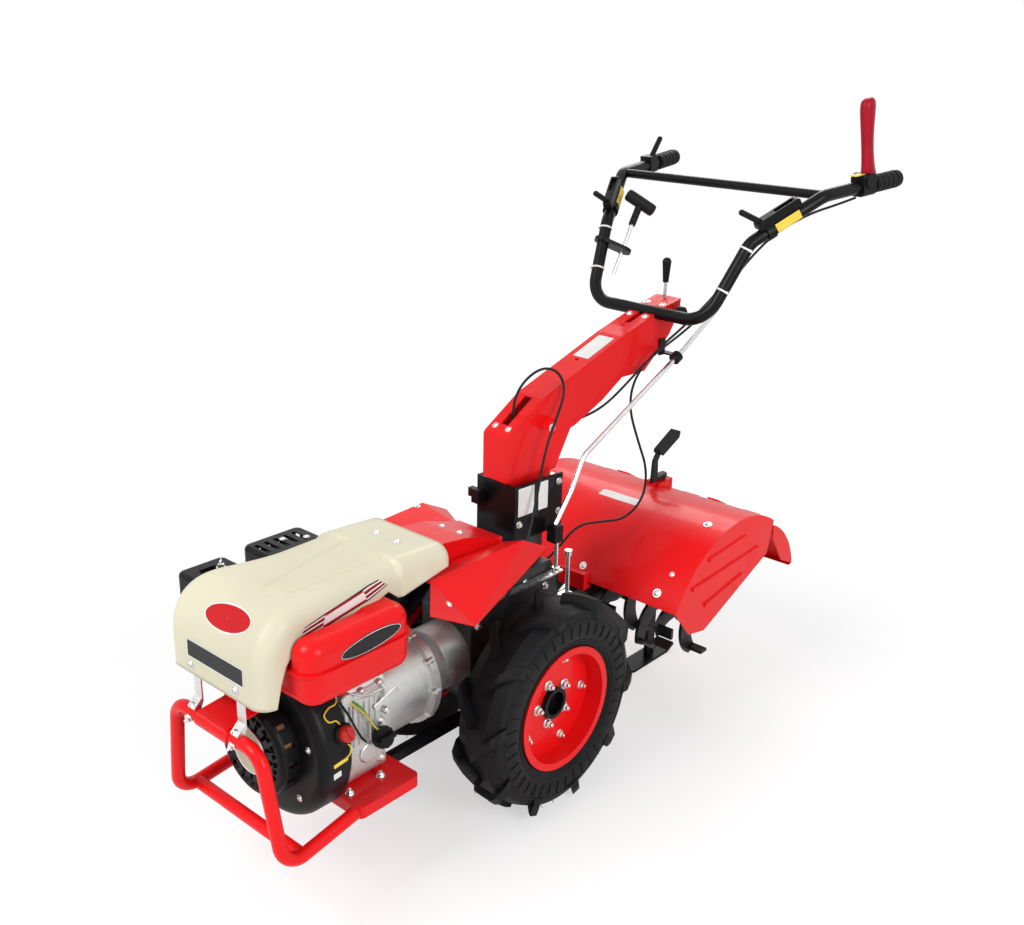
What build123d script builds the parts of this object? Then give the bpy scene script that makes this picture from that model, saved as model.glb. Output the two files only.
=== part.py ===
from build123d import *
import math
import os

# A walking two-wheel tractor with a rear rotary tiller, in millimetres.
# X points forward to the engine, Y to the left wheel and Z up.
# The origin is on the ground, under the middle of the wheel axle.

# Wheels and axle
wheel_radius = 250.0
wheel_track = 394.0
tyre_width = 125.0
tyre_wall = 9.0
lug_height = 18.0
lugs_per_side = 10
lug_width = 22.0
lug_sweep = 62.0
rim_bead_radius = 130.0
rim_lip_height = 12.0
rim_width = 114.0
rim_sheet = 4.0
rim_draft = 0.5
disc_setback = 43.0
disc_sheet = 6.0
hub_hole_radius = 36.0
hub_flange_radius = 62.0
hub_flange_sheet = 10.0
hub_wall = 9.0
hub_bolt_circle = 49.0
hub_bolt_count = 5
hub_bolt_radius = 6.0
axle_radius = 15.0
axle_housing_radius = 42.0
axle_housing_reach = 122.0
axle_inner_end = 70.0
running_clearance = 0.3
seat_clearance = 0.3

# Front bumper and engine plate
bumper_tube = 27.0
bumper_front = 707.0
bumper_top_half = 128.0
bumper_top_height = 425.0
bumper_foot_front = 698.0
bumper_foot_half = 168.0
bumper_foot_height = 195.0
bumper_bend = 42.0
cross_tube_front = 655.0
plate_rear = 366.0
plate_front = 524.0
plate_half = 176.0
plate_top = 234.0
plate_fold = 25.0
plate_sheet = 4.0

# Engine
crank_height = 343.0
crankcase_rear = 396.0
crankcase_front = 520.0
crankcase_half = 108.0
crankcase_top = 452.0
crankcase_wall = 24.0
shroud_radius = 160.0
shroud_front = 596.0
shroud_rear = 529.0
recoil_radius = 98.0
recoil_front = 640.0
recoil_disc_radius = 46.0
filler_neck_radius = 15.0
filler_cap_radius = 21.0
tank_rear = 392.0
tank_front = 640.0
tank_inner = -58.0
tank_outer = 190.0
tank_bottom = 500.0
tank_seam = 569.0
tank_top = 626.0
seam_lip = 6.0
tank_corner = 34.0
tank_lower_round = 24.0
tank_upper_round = 28.0
tank_wall = 1.6
air_box_front = 614.0
air_box_rear = 504.0
air_box_inner = -152.0
air_box_outer = -250.0
air_box_bottom = 537.0
air_box_top = 622.0
muffler_front = 450.0
muffler_rear = 302.0
muffler_inner = -168.0
muffler_outer = -264.0
muffler_bottom = 535.0
muffler_top = 622.0
muffler_wall = 2.5
muffler_barrel_radius = 36.0

# Bell housing and gearbox
bell_radius = 100.0
bell_ring_radius = 110.0
bell_ring_rear = 240.0
bell_neck_radius = 73.0
bell_neck_front = 186.0
bell_wall = 8.0
gearbox_front = 115.0
gearbox_rear = -180.0
gearbox_half = 74.0
gearbox_bottom = 217.0
gearbox_top = 500.0

# Hood over the engine
hood_front = 704.0
hood_rear = 217.0
hood_half = 137.6
hood_mouth = 503.0
hood_nose_height = 600.0
hood_nose_rake = 4.0
hood_skirt = 70.0
hood_top = 690.0
hood_sheet = 3.5
hood_gap = 5.0

# Handlebar turntable and column
swing_x = -120.0
swing_at_rest = -3.4
turntable_bottom = 568.0
turntable_top = 698.0
turntable_front = -45.0
turntable_rear = -197.0
turntable_half = 60.0
turntable_sheet = 5.0
pivot_radius = 34.0
column_half = 37.0
column_sheet = 3.0
handlebar_tube = 30.0
handlebar_wall = 2.5
grip_radius = 20.0
grip_length = 96.0
crossbar_tube = 22.0
arm_foot = (-540.0, 172.0, 1010.0)
arm_knee = (-634.0, 214.0, 1188.0)
arm_top = (-790.0, 300.0, 1292.0)
arm_end = (-1055.0, 336.0, 1319.0)

# Levers, rods and cables
lever_body_length = 116.0
lever_body_height = 22.0
lever_body_width = 22.0
clamp_wall = 5.0
finger_radius = 7.0
tag_sheet = 1.6
clutch_foot = (-951.0, 318.0, 1332.0)
clutch_tip = (-905.0, 318.0, 1498.0)
clutch_grip_radius = 13.0
housing_share = 0.53
housing_top = 29.0
pull_low = (-612.0, -166.0, 1066.0)
pull_high = (-684.0, -174.0, 1180.0)
pull_tip = (-718.0, -177.0, 1232.0)
pull_rod_radius = 5.0
pull_bar_radius = 12.0
knob_x = -611.0
knob_foot = 1070.0
gear_lever_foot = 1031.5
selector_radius = 6.0
selector_route = [
    (-147.0, 88.0, 592.0),
    (-199.0, 88.0, 664.0),
    (-235.0, 88.0, 736.0),
    (-584.0, 86.0, 922.0),
    (-715.0, 84.0, 1004.0),
    (-752.0, 84.0, 1056.0),
]
knuckle_low = 552.0
knuckle_high = 600.0
cable_diameter = 6.0

# Tiller
rotor_x = -485.0
rotor_height = 325.0
drive_height = 296.0
drive_tube_radius = 38.0
drive_flange_radius = 56.0
tine_reach = 146.0
tine_width = 40.0
tine_sheet = 8.0
tine_foot = 44.0
flange_places = (66.0, 150.0, 234.0)
tines_per_flange = 4
tine_stagger = 45.0
rotor_shaft_radius = 20.0
rotor_half = 268.0
flange_radius = 50.0
flange_sheet = 8.0
case_radius = 68.0
case_half = 27.0
tiller_half = 298.0
tiller_sheet = 3.0
rib_radius = 5.0
side_ribs = (
    ((-463.0, 466.0), (-625.0, 477.0)),
    ((-398.0, 411.0), (-692.0, 426.0)),
    ((-458.0, 349.0), (-624.0, 375.0)),
)
hinge_x = -784.0
hinge_height = 464.0
hinge_rod_radius = 5.0
hinge_barrel_radius = 10.0
flap_tip_x = -915.0
flap_tip_height = 306.0
skid_sheet = 8.0
skid_half = 28.0
stalk_x = -690.0
stalk_half = 16.0
stalk_sheet = 12.0
stalk_top = 548.0
ear_places = (-165.0, -50.0, 130.0)
ear_half = 17.0
barrel_places = (-225.0, 40.0, 225.0)
barrel_half = 22.0
flap_half = 290.0
flap_bulge = 22.0

nodes = {}


def side_slab(face, y_low, y_high):
    """A solid between two y values whose outline is drawn in X and Z."""
    return Pos(0, y_high, 0) * extrude(Plane.XZ * face, amount=y_high - y_low)


def end_slab(face, x_low, x_high):
    """A solid between two x values whose outline is drawn in Y and Z."""
    return Pos(x_low, 0, 0) * extrude(Plane.YZ * face, amount=x_high - x_low)


def outline(*points):
    return make_face(Polyline(*points, close=True))


def block(x_low, x_high, y_low, y_high, z_low, z_high):
    middle = Pos((x_low + x_high) / 2, (y_low + y_high) / 2, (z_low + z_high) / 2)
    return middle * Box(x_high - x_low, y_high - y_low, z_high - z_low)


def bar_along_x(radius, x_low, x_high, y=0.0, z=0.0):
    return Pos((x_low + x_high) / 2, y, z) * Rot(0, 90, 0) * Cylinder(radius, x_high - x_low)


def bar_along_y(radius, y_low, y_high, x=0.0, z=0.0):
    return Pos(x, (y_low + y_high) / 2, z) * Rot(90, 0, 0) * Cylinder(radius, y_high - y_low)


def bar_along_z(radius, z_low, z_high, x=0.0, y=0.0):
    return Pos(x, y, (z_low + z_high) / 2) * Cylinder(radius, z_high - z_low)


def bent_rod(points, radius, bends, wall=0.0):
    """A round rod or tube along straight runs joined by tangent arcs."""
    path = FilletPolyline(*points, radius=bends)
    start = Plane(origin=path @ 0, z_dir=path % 0)
    rod = sweep(start * Circle(radius), path=path)
    if wall > 0:
        rod = rod - sweep(start * Circle(radius - wall), path=path)
    return rod


def straight_rod(start, end, radius):
    line = Line(start, end)
    return sweep(Plane(origin=line @ 0, z_dir=line % 0) * Circle(radius), path=line)


def mirrored(shape):
    """The same piece on the other side of the machine."""
    return mirror(shape, about=Plane.XZ)


def swung(shape):
    """Turn a handlebar piece about the turntable's pivot to where it stands."""
    return Pos(swing_x, 0, 0) * Rot(0, 0, swing_at_rest) * Pos(-swing_x, 0, 0) * shape


def folded_sheet(corners, facets, thickness):
    """Sheet metal made of flat three-cornered facets, each as thick as given, measured straight down."""
    pieces = []
    for names in facets:
        face = outline(*[corners[name] for name in names])
        pieces.append(extrude(face, amount=thickness, dir=(0, 0, -1)))
    return pieces[0].fuse(*pieces[1:])


# Wheels, each drawn about its own centre with the outer side towards +Y

def tyre():
    half = tyre_width / 2
    bead = rim_bead_radius + seat_clearance
    lip = rim_bead_radius + rim_lip_height + seat_clearance
    bead_half = rim_width / 2 - rim_sheet - rim_draft - seat_clearance
    crown = wheel_radius - lug_height
    shoulder = crown - 10
    shoulder_half = half - 9
    belly = (lip + shoulder) / 2 - 2
    outside = make_face(
        Line((bead, -bead_half), (lip, -bead_half))
        + ThreePointArc((lip, -bead_half), (belly, -half), (shoulder, -shoulder_half))
        + Polyline((shoulder, -shoulder_half), (crown, -shoulder_half * 0.5), (crown, shoulder_half * 0.5))
        + Line((crown, shoulder_half * 0.5), (shoulder, shoulder_half))
        + ThreePointArc((shoulder, shoulder_half), (belly, half), (lip, bead_half))
        + Line((lip, bead_half), (bead, bead_half))
        + Line((bead, bead_half), (bead, -bead_half))
    )
    inner_bead_half = bead_half - tyre_wall
    inner_half = half - tyre_wall
    inner_crown = crown - tyre_wall
    hollow = outline(
        (lip, inner_bead_half),
        (lip, -inner_bead_half),
        (belly, -inner_half),
        (inner_crown - 10, -inner_half + 6),
        (inner_crown, -shoulder_half * 0.5),
        (inner_crown, shoulder_half * 0.5),
        (inner_crown - 10, inner_half - 6),
        (belly, inner_half),
    )
    carcass = revolve(outside - hollow, axis=Axis.Y)
    root = shoulder - 20
    envelope_face = make_face(
        Line((root, -half), (shoulder + 2, -half))
        + Line((shoulder + 2, -half), (wheel_radius - 4, -half + 8))
        + Polyline((wheel_radius - 4, -half + 8), (wheel_radius, -half / 2), (wheel_radius, half / 2))
        + Line((wheel_radius, half / 2), (wheel_radius - 4, half - 8))
        + Line((wheel_radius - 4, half - 8), (shoulder + 2, half))
        + Line((shoulder + 2, half), (root, half))
        + Line((root, half), (root, -half))
    )
    envelope = revolve(envelope_face, axis=Axis.Y)
    # One lug, drawn on the tread where the wheel's X axis leaves it, then cut to the tread's curve
    print_face = outline(
        (2, -lug_sweep / 2 - lug_width / 2),
        (2, -lug_sweep / 2 + lug_width / 2),
        (half, lug_sweep / 2 + lug_width * 0.7),
        (half, lug_sweep / 2 - lug_width * 0.4),
    )
    tread_plane = Plane(origin=(root - 6, 0, 0), x_dir=(0, 1, 0), z_dir=(1, 0, 0))
    lug = extrude(tread_plane * print_face, amount=wheel_radius + 12 - root) & envelope
    pitch = 360 / lugs_per_side
    lugs = []
    for index in range(lugs_per_side):
        lugs.append(Rot(0, index * pitch, 0) * lug)
        lugs.append(Rot(0, (index + 0.5) * pitch, 0) * mirror(lug, about=Plane.XZ))
    return carcass.fuse(*lugs)


def rim():
    half = rim_width / 2
    bead = rim_bead_radius
    lip = bead + rim_lip_height
    barrel = revolve(
        outline(
            (lip, half),
            (lip, half - rim_sheet),
            (bead, half - rim_sheet - rim_draft),
            (bead, -half + rim_sheet + rim_draft),
            (lip, -half + rim_sheet),
            (lip, -half),
            (bead - rim_sheet, -half),
            (bead - rim_sheet, half),
        ),
        axis=Axis.Y,
    )
    disc_outer = half - disc_setback
    disc = revolve(
        outline(
            (hub_hole_radius, disc_outer),
            (bead - rim_sheet + 1, disc_outer),
            (bead - rim_sheet + 1, disc_outer - disc_sheet),
            (hub_hole_radius, disc_outer - disc_sheet),
        ),
        axis=Axis.Y,
    )
    holes = [
        Rot(0, 360 / hub_bolt_count * index, 0)
        * bar_along_y(hub_bolt_radius + 0.5, disc_outer - 2 * disc_sheet, disc_outer + disc_sheet, hub_bolt_circle)
        for index in range(hub_bolt_count)
    ]
    return (barrel + disc) - holes


def hub():
    back = rim_width / 2 - disc_setback - disc_sheet
    flange = bar_along_y(hub_flange_radius, back - hub_flange_sheet, back)
    sleeve = bar_along_y(hub_hole_radius - seat_clearance, back, back + disc_sheet + 12)
    sleeve -= bar_along_y(hub_hole_radius - hub_wall, back, back + disc_sheet + 13)
    shaft = bar_along_y(axle_radius, axle_inner_end - wheel_track / 2, back - hub_flange_sheet)
    boss = bar_along_y(axle_radius + 14, axle_housing_reach + 6 - wheel_track / 2, back - hub_flange_sheet)
    return (flange + sleeve) + [shaft, boss]


def add_wheels():
    left = Pos(0, wheel_track / 2, wheel_radius)
    for name, shape in (("tyre", tyre()), ("rim", rim()), ("hub", hub())):
        nodes[f"wheel_left_{name}"] = left * shape
        nodes[f"wheel_right_{name}"] = mirrored(left * shape)


# Front bumper, engine plate and the strips that hold the hood

def front_bumper():
    rear_height = plate_top - plate_fold / 2
    half = [
        (plate_front - 2, bumper_foot_half - 6, rear_height),
        (bumper_foot_front, bumper_foot_half, bumper_foot_height),
        (bumper_front, bumper_top_half, bumper_top_height),
    ]
    other = [(x, -y, z) for x, y, z in reversed(half)]
    loop = bent_rod(half + other, bumper_tube / 2, bumper_bend)
    slope = (rear_height - bumper_foot_height) / (bumper_foot_front - plate_front)
    cross_height = bumper_foot_height + slope * (bumper_foot_front - cross_tube_front)
    reach = bumper_foot_half - bumper_tube / 4
    cross = bar_along_y(bumper_tube / 2 - 0.5, -reach, reach, cross_tube_front, cross_height)
    top = bumper_top_height + bumper_tube / 2
    channel = side_slab(
        outline(
            (bumper_front + 12, top + 4),
            (bumper_front - 62, top + 12),
            (bumper_front - 62, top + 8),
            (bumper_front + 8, top),
            (bumper_front + 8, top - 12),
            (bumper_front + 12, top - 12),
        ),
        -46,
        46,
    )
    shape = loop + [cross, channel]
    return shape - block(plate_rear, plate_front, -plate_half, plate_half, 0, crank_height)


def engine_plate():
    rounded = Pos((plate_rear + plate_front) / 2, 0, plate_top - plate_fold / 2) * Box(
        plate_front - plate_rear, 2 * plate_half, plate_fold
    )
    rounded = fillet(rounded.edges().filter_by(Axis.Z), 14)
    inside = block(
        plate_rear + plate_sheet,
        plate_front - plate_sheet,
        -plate_half + plate_sheet,
        plate_half - plate_sheet,
        plate_top - plate_fold - 1,
        plate_top - plate_sheet,
    )
    inside = fillet(inside.edges().filter_by(Axis.Z), 10)
    return rounded - inside


def frame_rails():
    """Two channels under the bell housing that tie the engine plate to the gearbox."""
    rail = block(gearbox_front - 60, plate_rear, 52, 72, gearbox_bottom - 22, gearbox_bottom - 0.2)
    return [rail, mirrored(rail)]


def hood_inside(height):
    """The X of the hood's inner front face at a height."""
    fall = (height - hood_mouth + hood_skirt) / (hood_nose_height - hood_mouth + hood_skirt)
    return hood_front - hood_sheet - hood_nose_rake * fall


def hood_struts():
    foot = bumper_top_height + bumper_tube / 2 + seat_clearance
    top = hood_mouth + 39
    sheet = 3
    high = hood_inside(top) - seat_clearance
    low = hood_inside(hood_mouth) - seat_clearance
    strip = side_slab(
        outline(
            (high - sheet, top),
            (high, top),
            (low, hood_mouth),
            (low, foot + 20),
            (bumper_front + 9, foot + sheet),
            (bumper_front + 9, foot),
            (bumper_front - 6, foot),
            (low - sheet, foot + 12),
            (low - sheet, hood_mouth),
        ),
        55,
        77,
    )
    return [strip, mirrored(strip)]


# Engine

def crankcase():
    body = block(
        crankcase_rear, crankcase_front, -crankcase_half, crankcase_half, plate_top, crankcase_top
    )
    body = fillet(body.edges().filter_by(Axis.X), 22)
    neck = Pos(428, crankcase_half - 8, 318) * Rot(-70, 0, 0) * Cylinder(filler_neck_radius, 62)
    cylinder = Pos(0, -crankcase_half, 360) * Rot(-20, 0, 0) * block(414, 506, -92, 10, -52, 52)
    fins = []
    for index in range(7):
        y = -84 + 13 * index
        fins.append(
            Pos(0, -crankcase_half, 360) * Rot(-20, 0, 0) * block(402, 516, y, y + 5, -66, 66)
        )
    shape = (body + neck).fuse(cylinder, *fins)
    shape -= block(
        crankcase_rear + crankcase_wall,
        crankcase_front - crankcase_wall,
        crankcase_wall - crankcase_half,
        crankcase_half - crankcase_wall,
        plate_top + crankcase_wall,
        crankcase_top - crankcase_wall,
    )
    return shape - block(crankcase_rear - 10, crankcase_front + 10, -400, 400, 0, plate_top)


def oil_filler():
    cap = Pos(428, crankcase_half - 8, 318) * Rot(-70, 0, 0) * Pos(0, 0, 31 + 9)
    return cap * Cylinder(filler_cap_radius, 18)


def fan_shroud():
    ring = bar_along_x(shroud_radius, shroud_rear, shroud_front, 0, crank_height)
    ring = fillet(ring.edges().sort_by(Axis.X)[-1], 22)
    collar = bar_along_x(shroud_radius - 8, crankcase_front + seat_clearance, shroud_rear, 0, crank_height)
    collar -= block(0, shroud_rear, -400, 400, 0, plate_top + seat_clearance)
    duct = block(shroud_rear, shroud_front - 20, -150, 60, crank_height + 60, crankcase_top + 30)
    shape = (ring + collar) + duct
    hollow = bar_along_x(recoil_radius - 12, shroud_rear + 6, shroud_front + 1, 0, crank_height)
    under_tank = block(0, shroud_front + 1, -400, 400, tank_bottom - 6, tank_top)
    return shape - hollow - under_tank


def recoil_starter():
    can = bar_along_x(recoil_radius, shroud_front, recoil_front, 0, crank_height)
    can = fillet(can.edges().sort_by(Axis.X)[-1], 14)
    can -= bar_along_x(recoil_radius - 5, shroud_front - 1, recoil_front - 5, 0, crank_height)
    slots = []
    for index in range(16):
        turn = Pos(0, 0, crank_height) * Rot(360 / 16 * index, 0, 0)
        slots.append(turn * block(recoil_front - 6, recoil_front + 1, -4, 4, recoil_disc_radius + 6, recoil_radius - 16))
        slots.append(turn * block(shroud_front + 8, recoil_front - 14, -5, 5, recoil_radius - 6, recoil_radius + 1))
    return can - slots


def recoil_disc():
    return bar_along_x(recoil_disc_radius, recoil_front, recoil_front + 3, 0, crank_height)


def hood_envelope(grow):
    """The space that the hood takes, grown outwards, for what must stay clear of it."""
    side = outline(
        (hood_front + grow, 503 - grow),
        (hood_front + grow, 640),
        (640, hood_top + grow),
        (hood_rear - grow, hood_top + grow),
        (hood_rear - grow, 632 - grow),
        (374, 630 - grow),
        (418, 646 - grow),
        (602, 592 - grow),
        (652, 571 - grow),
        (690, 503 - grow),
    )
    return side_slab(side, -hood_half - grow, hood_half + grow)


def tank_form(inset):
    """The two pressed halves of the tank, each inset by the same amount all round."""
    sides = (tank_rear + inset, tank_front - inset, tank_inner + inset, tank_outer - inset)
    lower = block(*sides, tank_bottom + inset, tank_seam)
    lower = fillet(lower.edges().filter_by(Axis.Z), tank_corner - inset)
    lower = fillet(lower.faces().sort_by(Axis.Z)[0].edges(), tank_lower_round - inset)
    upper = block(*sides, tank_seam, tank_top - inset)
    upper = fillet(upper.edges().filter_by(Axis.Z), tank_corner - inset)
    upper = fillet(upper.faces().sort_by(Axis.Z)[-1].edges(), tank_upper_round - inset)
    return lower + upper


def fuel_tank():
    """A hollow tank with its seam lip, its foot on the crankcase and a notch that clears the hood."""
    lip = block(
        tank_rear - seam_lip,
        tank_front + seam_lip,
        tank_inner - seam_lip,
        tank_outer + seam_lip,
        tank_seam - 1.5,
        tank_seam + 1.5,
    )
    lip = fillet(lip.edges().filter_by(Axis.Z), tank_corner + 4)
    foot = block(tank_rear + 30, crankcase_front - 10, tank_inner + 30, crankcase_half - 20, crankcase_top, tank_bottom + 6)
    cavity = tank_form(tank_wall) - hood_envelope(hood_gap + tank_wall)
    outlet = bar_along_z(4, tank_bottom - 1, tank_bottom + 2 * tank_wall, tank_front - 70, 100)
    shape = (tank_form(0) + lip) - hood_envelope(hood_gap)
    return (shape + foot) - cavity - outlet


def air_cleaner():
    box = block(air_box_rear, air_box_front, air_box_outer, air_box_inner, air_box_bottom, air_box_top)
    box = fillet(box.edges().filter_by(Axis.Z), 16)
    box = fillet(box.faces().sort_by(Axis.Z)[-1].edges(), 9)
    stud = bar_along_z(5, air_box_top, air_box_top + 12, (air_box_rear + air_box_front) / 2, -201)
    wing = block(563, 589, -204, -198, air_box_top + 4, air_box_top + 12)
    elbow = block(540, 575, -195, -150, crankcase_top, air_box_bottom)
    return box + [stud, wing, elbow]


def muffler():
    box = block(muffler_rear, muffler_front, muffler_outer, muffler_inner, muffler_bottom, muffler_top)
    box = fillet(box.edges().filter_by(Axis.Z), 18)
    box = fillet(box.faces().sort_by(Axis.Z)[-1].edges(), 10)
    slots = []
    for index in range(6):
        x = muffler_rear + 28 + 24 * index
        slots.append(block(x, x + 10, muffler_outer + 24, muffler_inner - 24, muffler_top - 5, muffler_top + 1))
        slots.append(block(x, x + 10, muffler_outer - 1, muffler_outer + 5, muffler_bottom + 24, muffler_top - 22))
    cavity = block(
        muffler_rear + muffler_wall,
        muffler_front - muffler_wall,
        muffler_outer + muffler_wall,
        muffler_inner - muffler_wall,
        muffler_bottom + muffler_wall,
        muffler_top - muffler_wall,
    )
    cavity = fillet(cavity.edges(), 8)
    barrel = bar_along_x(
        muffler_barrel_radius,
        muffler_rear + 2,
        muffler_front - 2,
        (muffler_outer + muffler_inner) / 2,
        (muffler_bottom + muffler_top) / 2 - 2,
    )
    return (box - slots - cavity) + barrel


def exhaust_pipe():
    """From the tilted cylinder head's end face up into the muffler."""
    port = (430, -187.8, 410.4)
    elbow = (430, -216, 420.7)
    return bent_rod([port, elbow, (430, -216, muffler_bottom)], 13, 14)


# Bell housing and gearbox

def bell_housing():
    z = crank_height
    profile = outline(
        (gearbox_front, 0),
        (gearbox_front, bell_neck_radius),
        (bell_neck_front, bell_neck_radius),
        (bell_ring_rear - 12, bell_radius - 4),
        (bell_ring_rear, bell_radius - 4),
        (bell_ring_rear, bell_ring_radius),
        (bell_ring_rear + 16, bell_ring_radius),
        (bell_ring_rear + 16, bell_radius),
        (crankcase_rear - 14, bell_radius),
        (crankcase_rear - 14, bell_ring_radius - 2),
        (crankcase_rear, bell_ring_radius - 2),
        (crankcase_rear, 0),
    )
    cavity = outline(
        (gearbox_front + bell_wall, 0),
        (gearbox_front + bell_wall, bell_neck_radius - bell_wall),
        (bell_neck_front, bell_neck_radius - bell_wall),
        (bell_ring_rear, bell_radius - 4 - bell_wall),
        (crankcase_rear - bell_wall, bell_radius - 4 - bell_wall),
        (crankcase_rear - bell_wall, 0),
    )
    shape = Pos(0, 0, z) * (revolve(profile, axis=Axis.X) - revolve(cavity, axis=Axis.X))
    shape -= bar_along_x(22, gearbox_front - 1, gearbox_front + bell_wall + 1, 0, z)
    return shape - block(plate_rear - 2, crankcase_rear + 1, -200, 200, 0, plate_top + seat_clearance)


def gearbox():
    body = side_slab(
        outline(
            (gearbox_front, gearbox_bottom + 36),
            (gearbox_front, gearbox_top - 60),
            (60, gearbox_top),
            (gearbox_rear + 30, gearbox_top),
            (gearbox_rear, gearbox_top - 90),
            (gearbox_rear, gearbox_bottom + 60),
            (gearbox_rear + 70, gearbox_bottom),
            (gearbox_front - 30, gearbox_bottom),
        ),
        -gearbox_half,
        gearbox_half,
    )
    body = fillet(body.edges().filter_by(Axis.Y), 12)
    housing = bar_along_y(axle_housing_radius, -axle_housing_reach, axle_housing_reach, 0, wheel_radius)
    collar = bar_along_y(axle_housing_radius + 18, -gearbox_half - 16, gearbox_half + 16, 0, wheel_radius)
    post = bar_along_z(pivot_radius + 20, gearbox_top - 1, turntable_bottom - seat_clearance, swing_x)
    shape = body.fuse(housing, collar, post)
    bore = axle_radius + running_clearance
    for side in (-1, 1):
        ends = sorted((side * (axle_inner_end - 1), side * (axle_housing_reach + 1)))
        shape -= bar_along_y(bore, ends[0], ends[1], 0, wheel_radius)
    pin = bar_along_z(pivot_radius - 14 + running_clearance, gearbox_top + 10, turntable_bottom, swing_x)
    return shape - pin


# Hood over the engine, mid cover and fenders

def hood():
    """The pressed hood, open underneath, with a raised middle panel and a rounded nose."""
    lower = [(694, 503), (652, 571), (602, 592), (418, 646), (374, 630), (hood_rear, 632)]

    def form(inset, drop):
        nose = ThreePointArc(
            (616, 684 - inset),
            (674 - inset * 0.6, 655 - inset * 0.7),
            (hood_front - hood_nose_rake - inset, hood_nose_height),
        )
        top = Polyline((hood_rear - drop, 654 - inset), (312, 688 - inset), (616, 684 - inset))
        front = Line(nose @ 1, (hood_front - inset, hood_mouth - drop))
        if drop > 0:
            under = Polyline((hood_front - inset, hood_mouth - drop), (hood_rear - drop, hood_mouth - drop))
        else:
            under = Polyline((hood_front, hood_mouth), *lower)
        rear = Line(under @ 1, (hood_rear - drop, 654 - inset))
        side = side_slab(make_face(top + nose + front + under + rear), -hood_half + inset, hood_half - inset)
        half = hood_half - inset
        crown = make_face(
            Polyline((-half, 400), (-half, 650 - inset))
            + ThreePointArc((-half, 650 - inset), (-half + 10, 666 - inset), (-half + 28, 674 - inset))
            + Polyline((-half + 28, 674 - inset), (-72, 681 - inset), (-66, 690 - inset), (66, 690 - inset))
            + Polyline((66, 690 - inset), (72, 681 - inset), (half - 28, 674 - inset))
            + ThreePointArc((half - 28, 674 - inset), (half - 10, 666 - inset), (half, 650 - inset))
            + Polyline((half, 650 - inset), (half, 400), (-half, 400))
        )
        return side & end_slab(crown, hood_rear - 80, hood_front + 20)

    return form(0, 0) - form(hood_sheet, hood_skirt)


def fenders_and_cover():
    top = outline((214, 646), (120, 634), (60, 616), (8, 602), (8, 556), (214, 556))
    under = outline((211, 643), (120, 631), (60, 613), (11, 599.5), (11, 550), (211, 550))
    ridge = side_slab(top, -64, 64) - side_slab(under, -61, 61)
    ridge += bar_along_z(9, gearbox_top, 612, 40, 0)
    corners = {
        "inner front": (214, 64, 600),
        "inner rear": (8, 64, 590),
        "crest": (300, 140, 624),
        "ridge": (40, 150, 630),
        "tip front": (382, 222, 610),
        "tip low": (268, 230, 548),
        "tail": (-40, 152, 590),
    }
    facets = [
        ("inner front", "crest", "ridge"),
        ("crest", "tip front", "tip low"),
        ("crest", "tip low", "ridge"),
        ("ridge", "tip low", "tail"),
        ("inner front", "ridge", "inner rear"),
        ("inner rear", "ridge", "tail"),
    ]
    fender = folded_sheet(corners, facets, 3.5)
    return ridge, fender


# Handlebar turntable, column, tube and levers

def turntable_bracket():
    outer = block(
        turntable_rear, turntable_front, -turntable_half, turntable_half, turntable_bottom, turntable_top
    )
    inner = block(
        turntable_rear - 1,
        turntable_front - turntable_sheet,
        -turntable_half + turntable_sheet,
        turntable_half - turntable_sheet,
        turntable_bottom + turntable_sheet,
        turntable_top + 1,
    )
    pin = bar_along_z(pivot_radius - 14, gearbox_top + 12, turntable_bottom + 2, swing_x)
    return (outer - inner) + pin


def lock_lever():
    arm = block(turntable_front + seat_clearance, turntable_front + 26, -52, -30, 640, 660)
    handle = block(turntable_front + 16, turntable_front + 30, -58, -24, 655, 675)
    return arm + handle


def column():
    front = -40.0
    side = outline(
        (front, 702),
        (front, 803),
        (-46, 810),
        (-145, 875),
        (-268, 920),
        (-410, 973),
        (-563, 1020),
        (-628, 1034),
        (-624, 1002),
        (-590, 951),
        (-502, 875),
        (-418, 874),
        (-351, 832),
        (-259, 791),
        (-243, 787),
        (-196, 702),
    )
    inside = outline(
        (front - column_sheet, 690),
        (front - column_sheet, 800),
        (-145, 871),
        (-268, 917),
        (-410, 970),
        (-563, 1016),
        (-610, 1024),
        (-640, 1004),
        (-590, 930),
        (-502, 860),
        (-418, 860),
        (-351, 820),
        (-259, 775),
        (-243, 770),
        (-200, 690),
    )
    shell = side_slab(side, -column_half, column_half)
    shell -= side_slab(inside, -column_half + column_sheet, column_half - column_sheet)
    foot = block(-188, -52, -column_half + 8, column_half - 8, turntable_bottom + turntable_sheet, 712)
    bottom_cap = block(-194, front, -column_half, column_half, 702, 706)
    clamp_x, clamp_height = arm_foot[0], arm_foot[2]
    clamp = block(clamp_x - 30, clamp_x + 30, -column_half + column_sheet, column_half - column_sheet, 982, 1004)
    bore = bar_along_y(handlebar_tube / 2 + 0.2, -60, 60, clamp_x, clamp_height)
    tabs = Pos(-150, 0, 822) * Rot(0, 33, 0) * Box(34, 2 * column_half + 48, 3)
    tabs -= Pos(-150, 0, 822) * Rot(0, 33, 0) * Box(60, 2 * column_half - 2, 8)
    shape = (shell + bottom_cap) + [foot, clamp, tabs]
    top_slot = Pos(-106, 0, 846) * Rot(0, 33, 0) * Box(88, 22, 40)
    upper_slot = Pos(-508, 0, 1006) * Rot(0, 17, 0) * Box(84, 16, 40)
    rivet_holes = [Pos(x, 0, z) * Cylinder(5, 30) for x, z in ((-297, 930), (-457, 986))]
    return shape - bore - top_slot - upper_slot - rivet_holes


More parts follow.
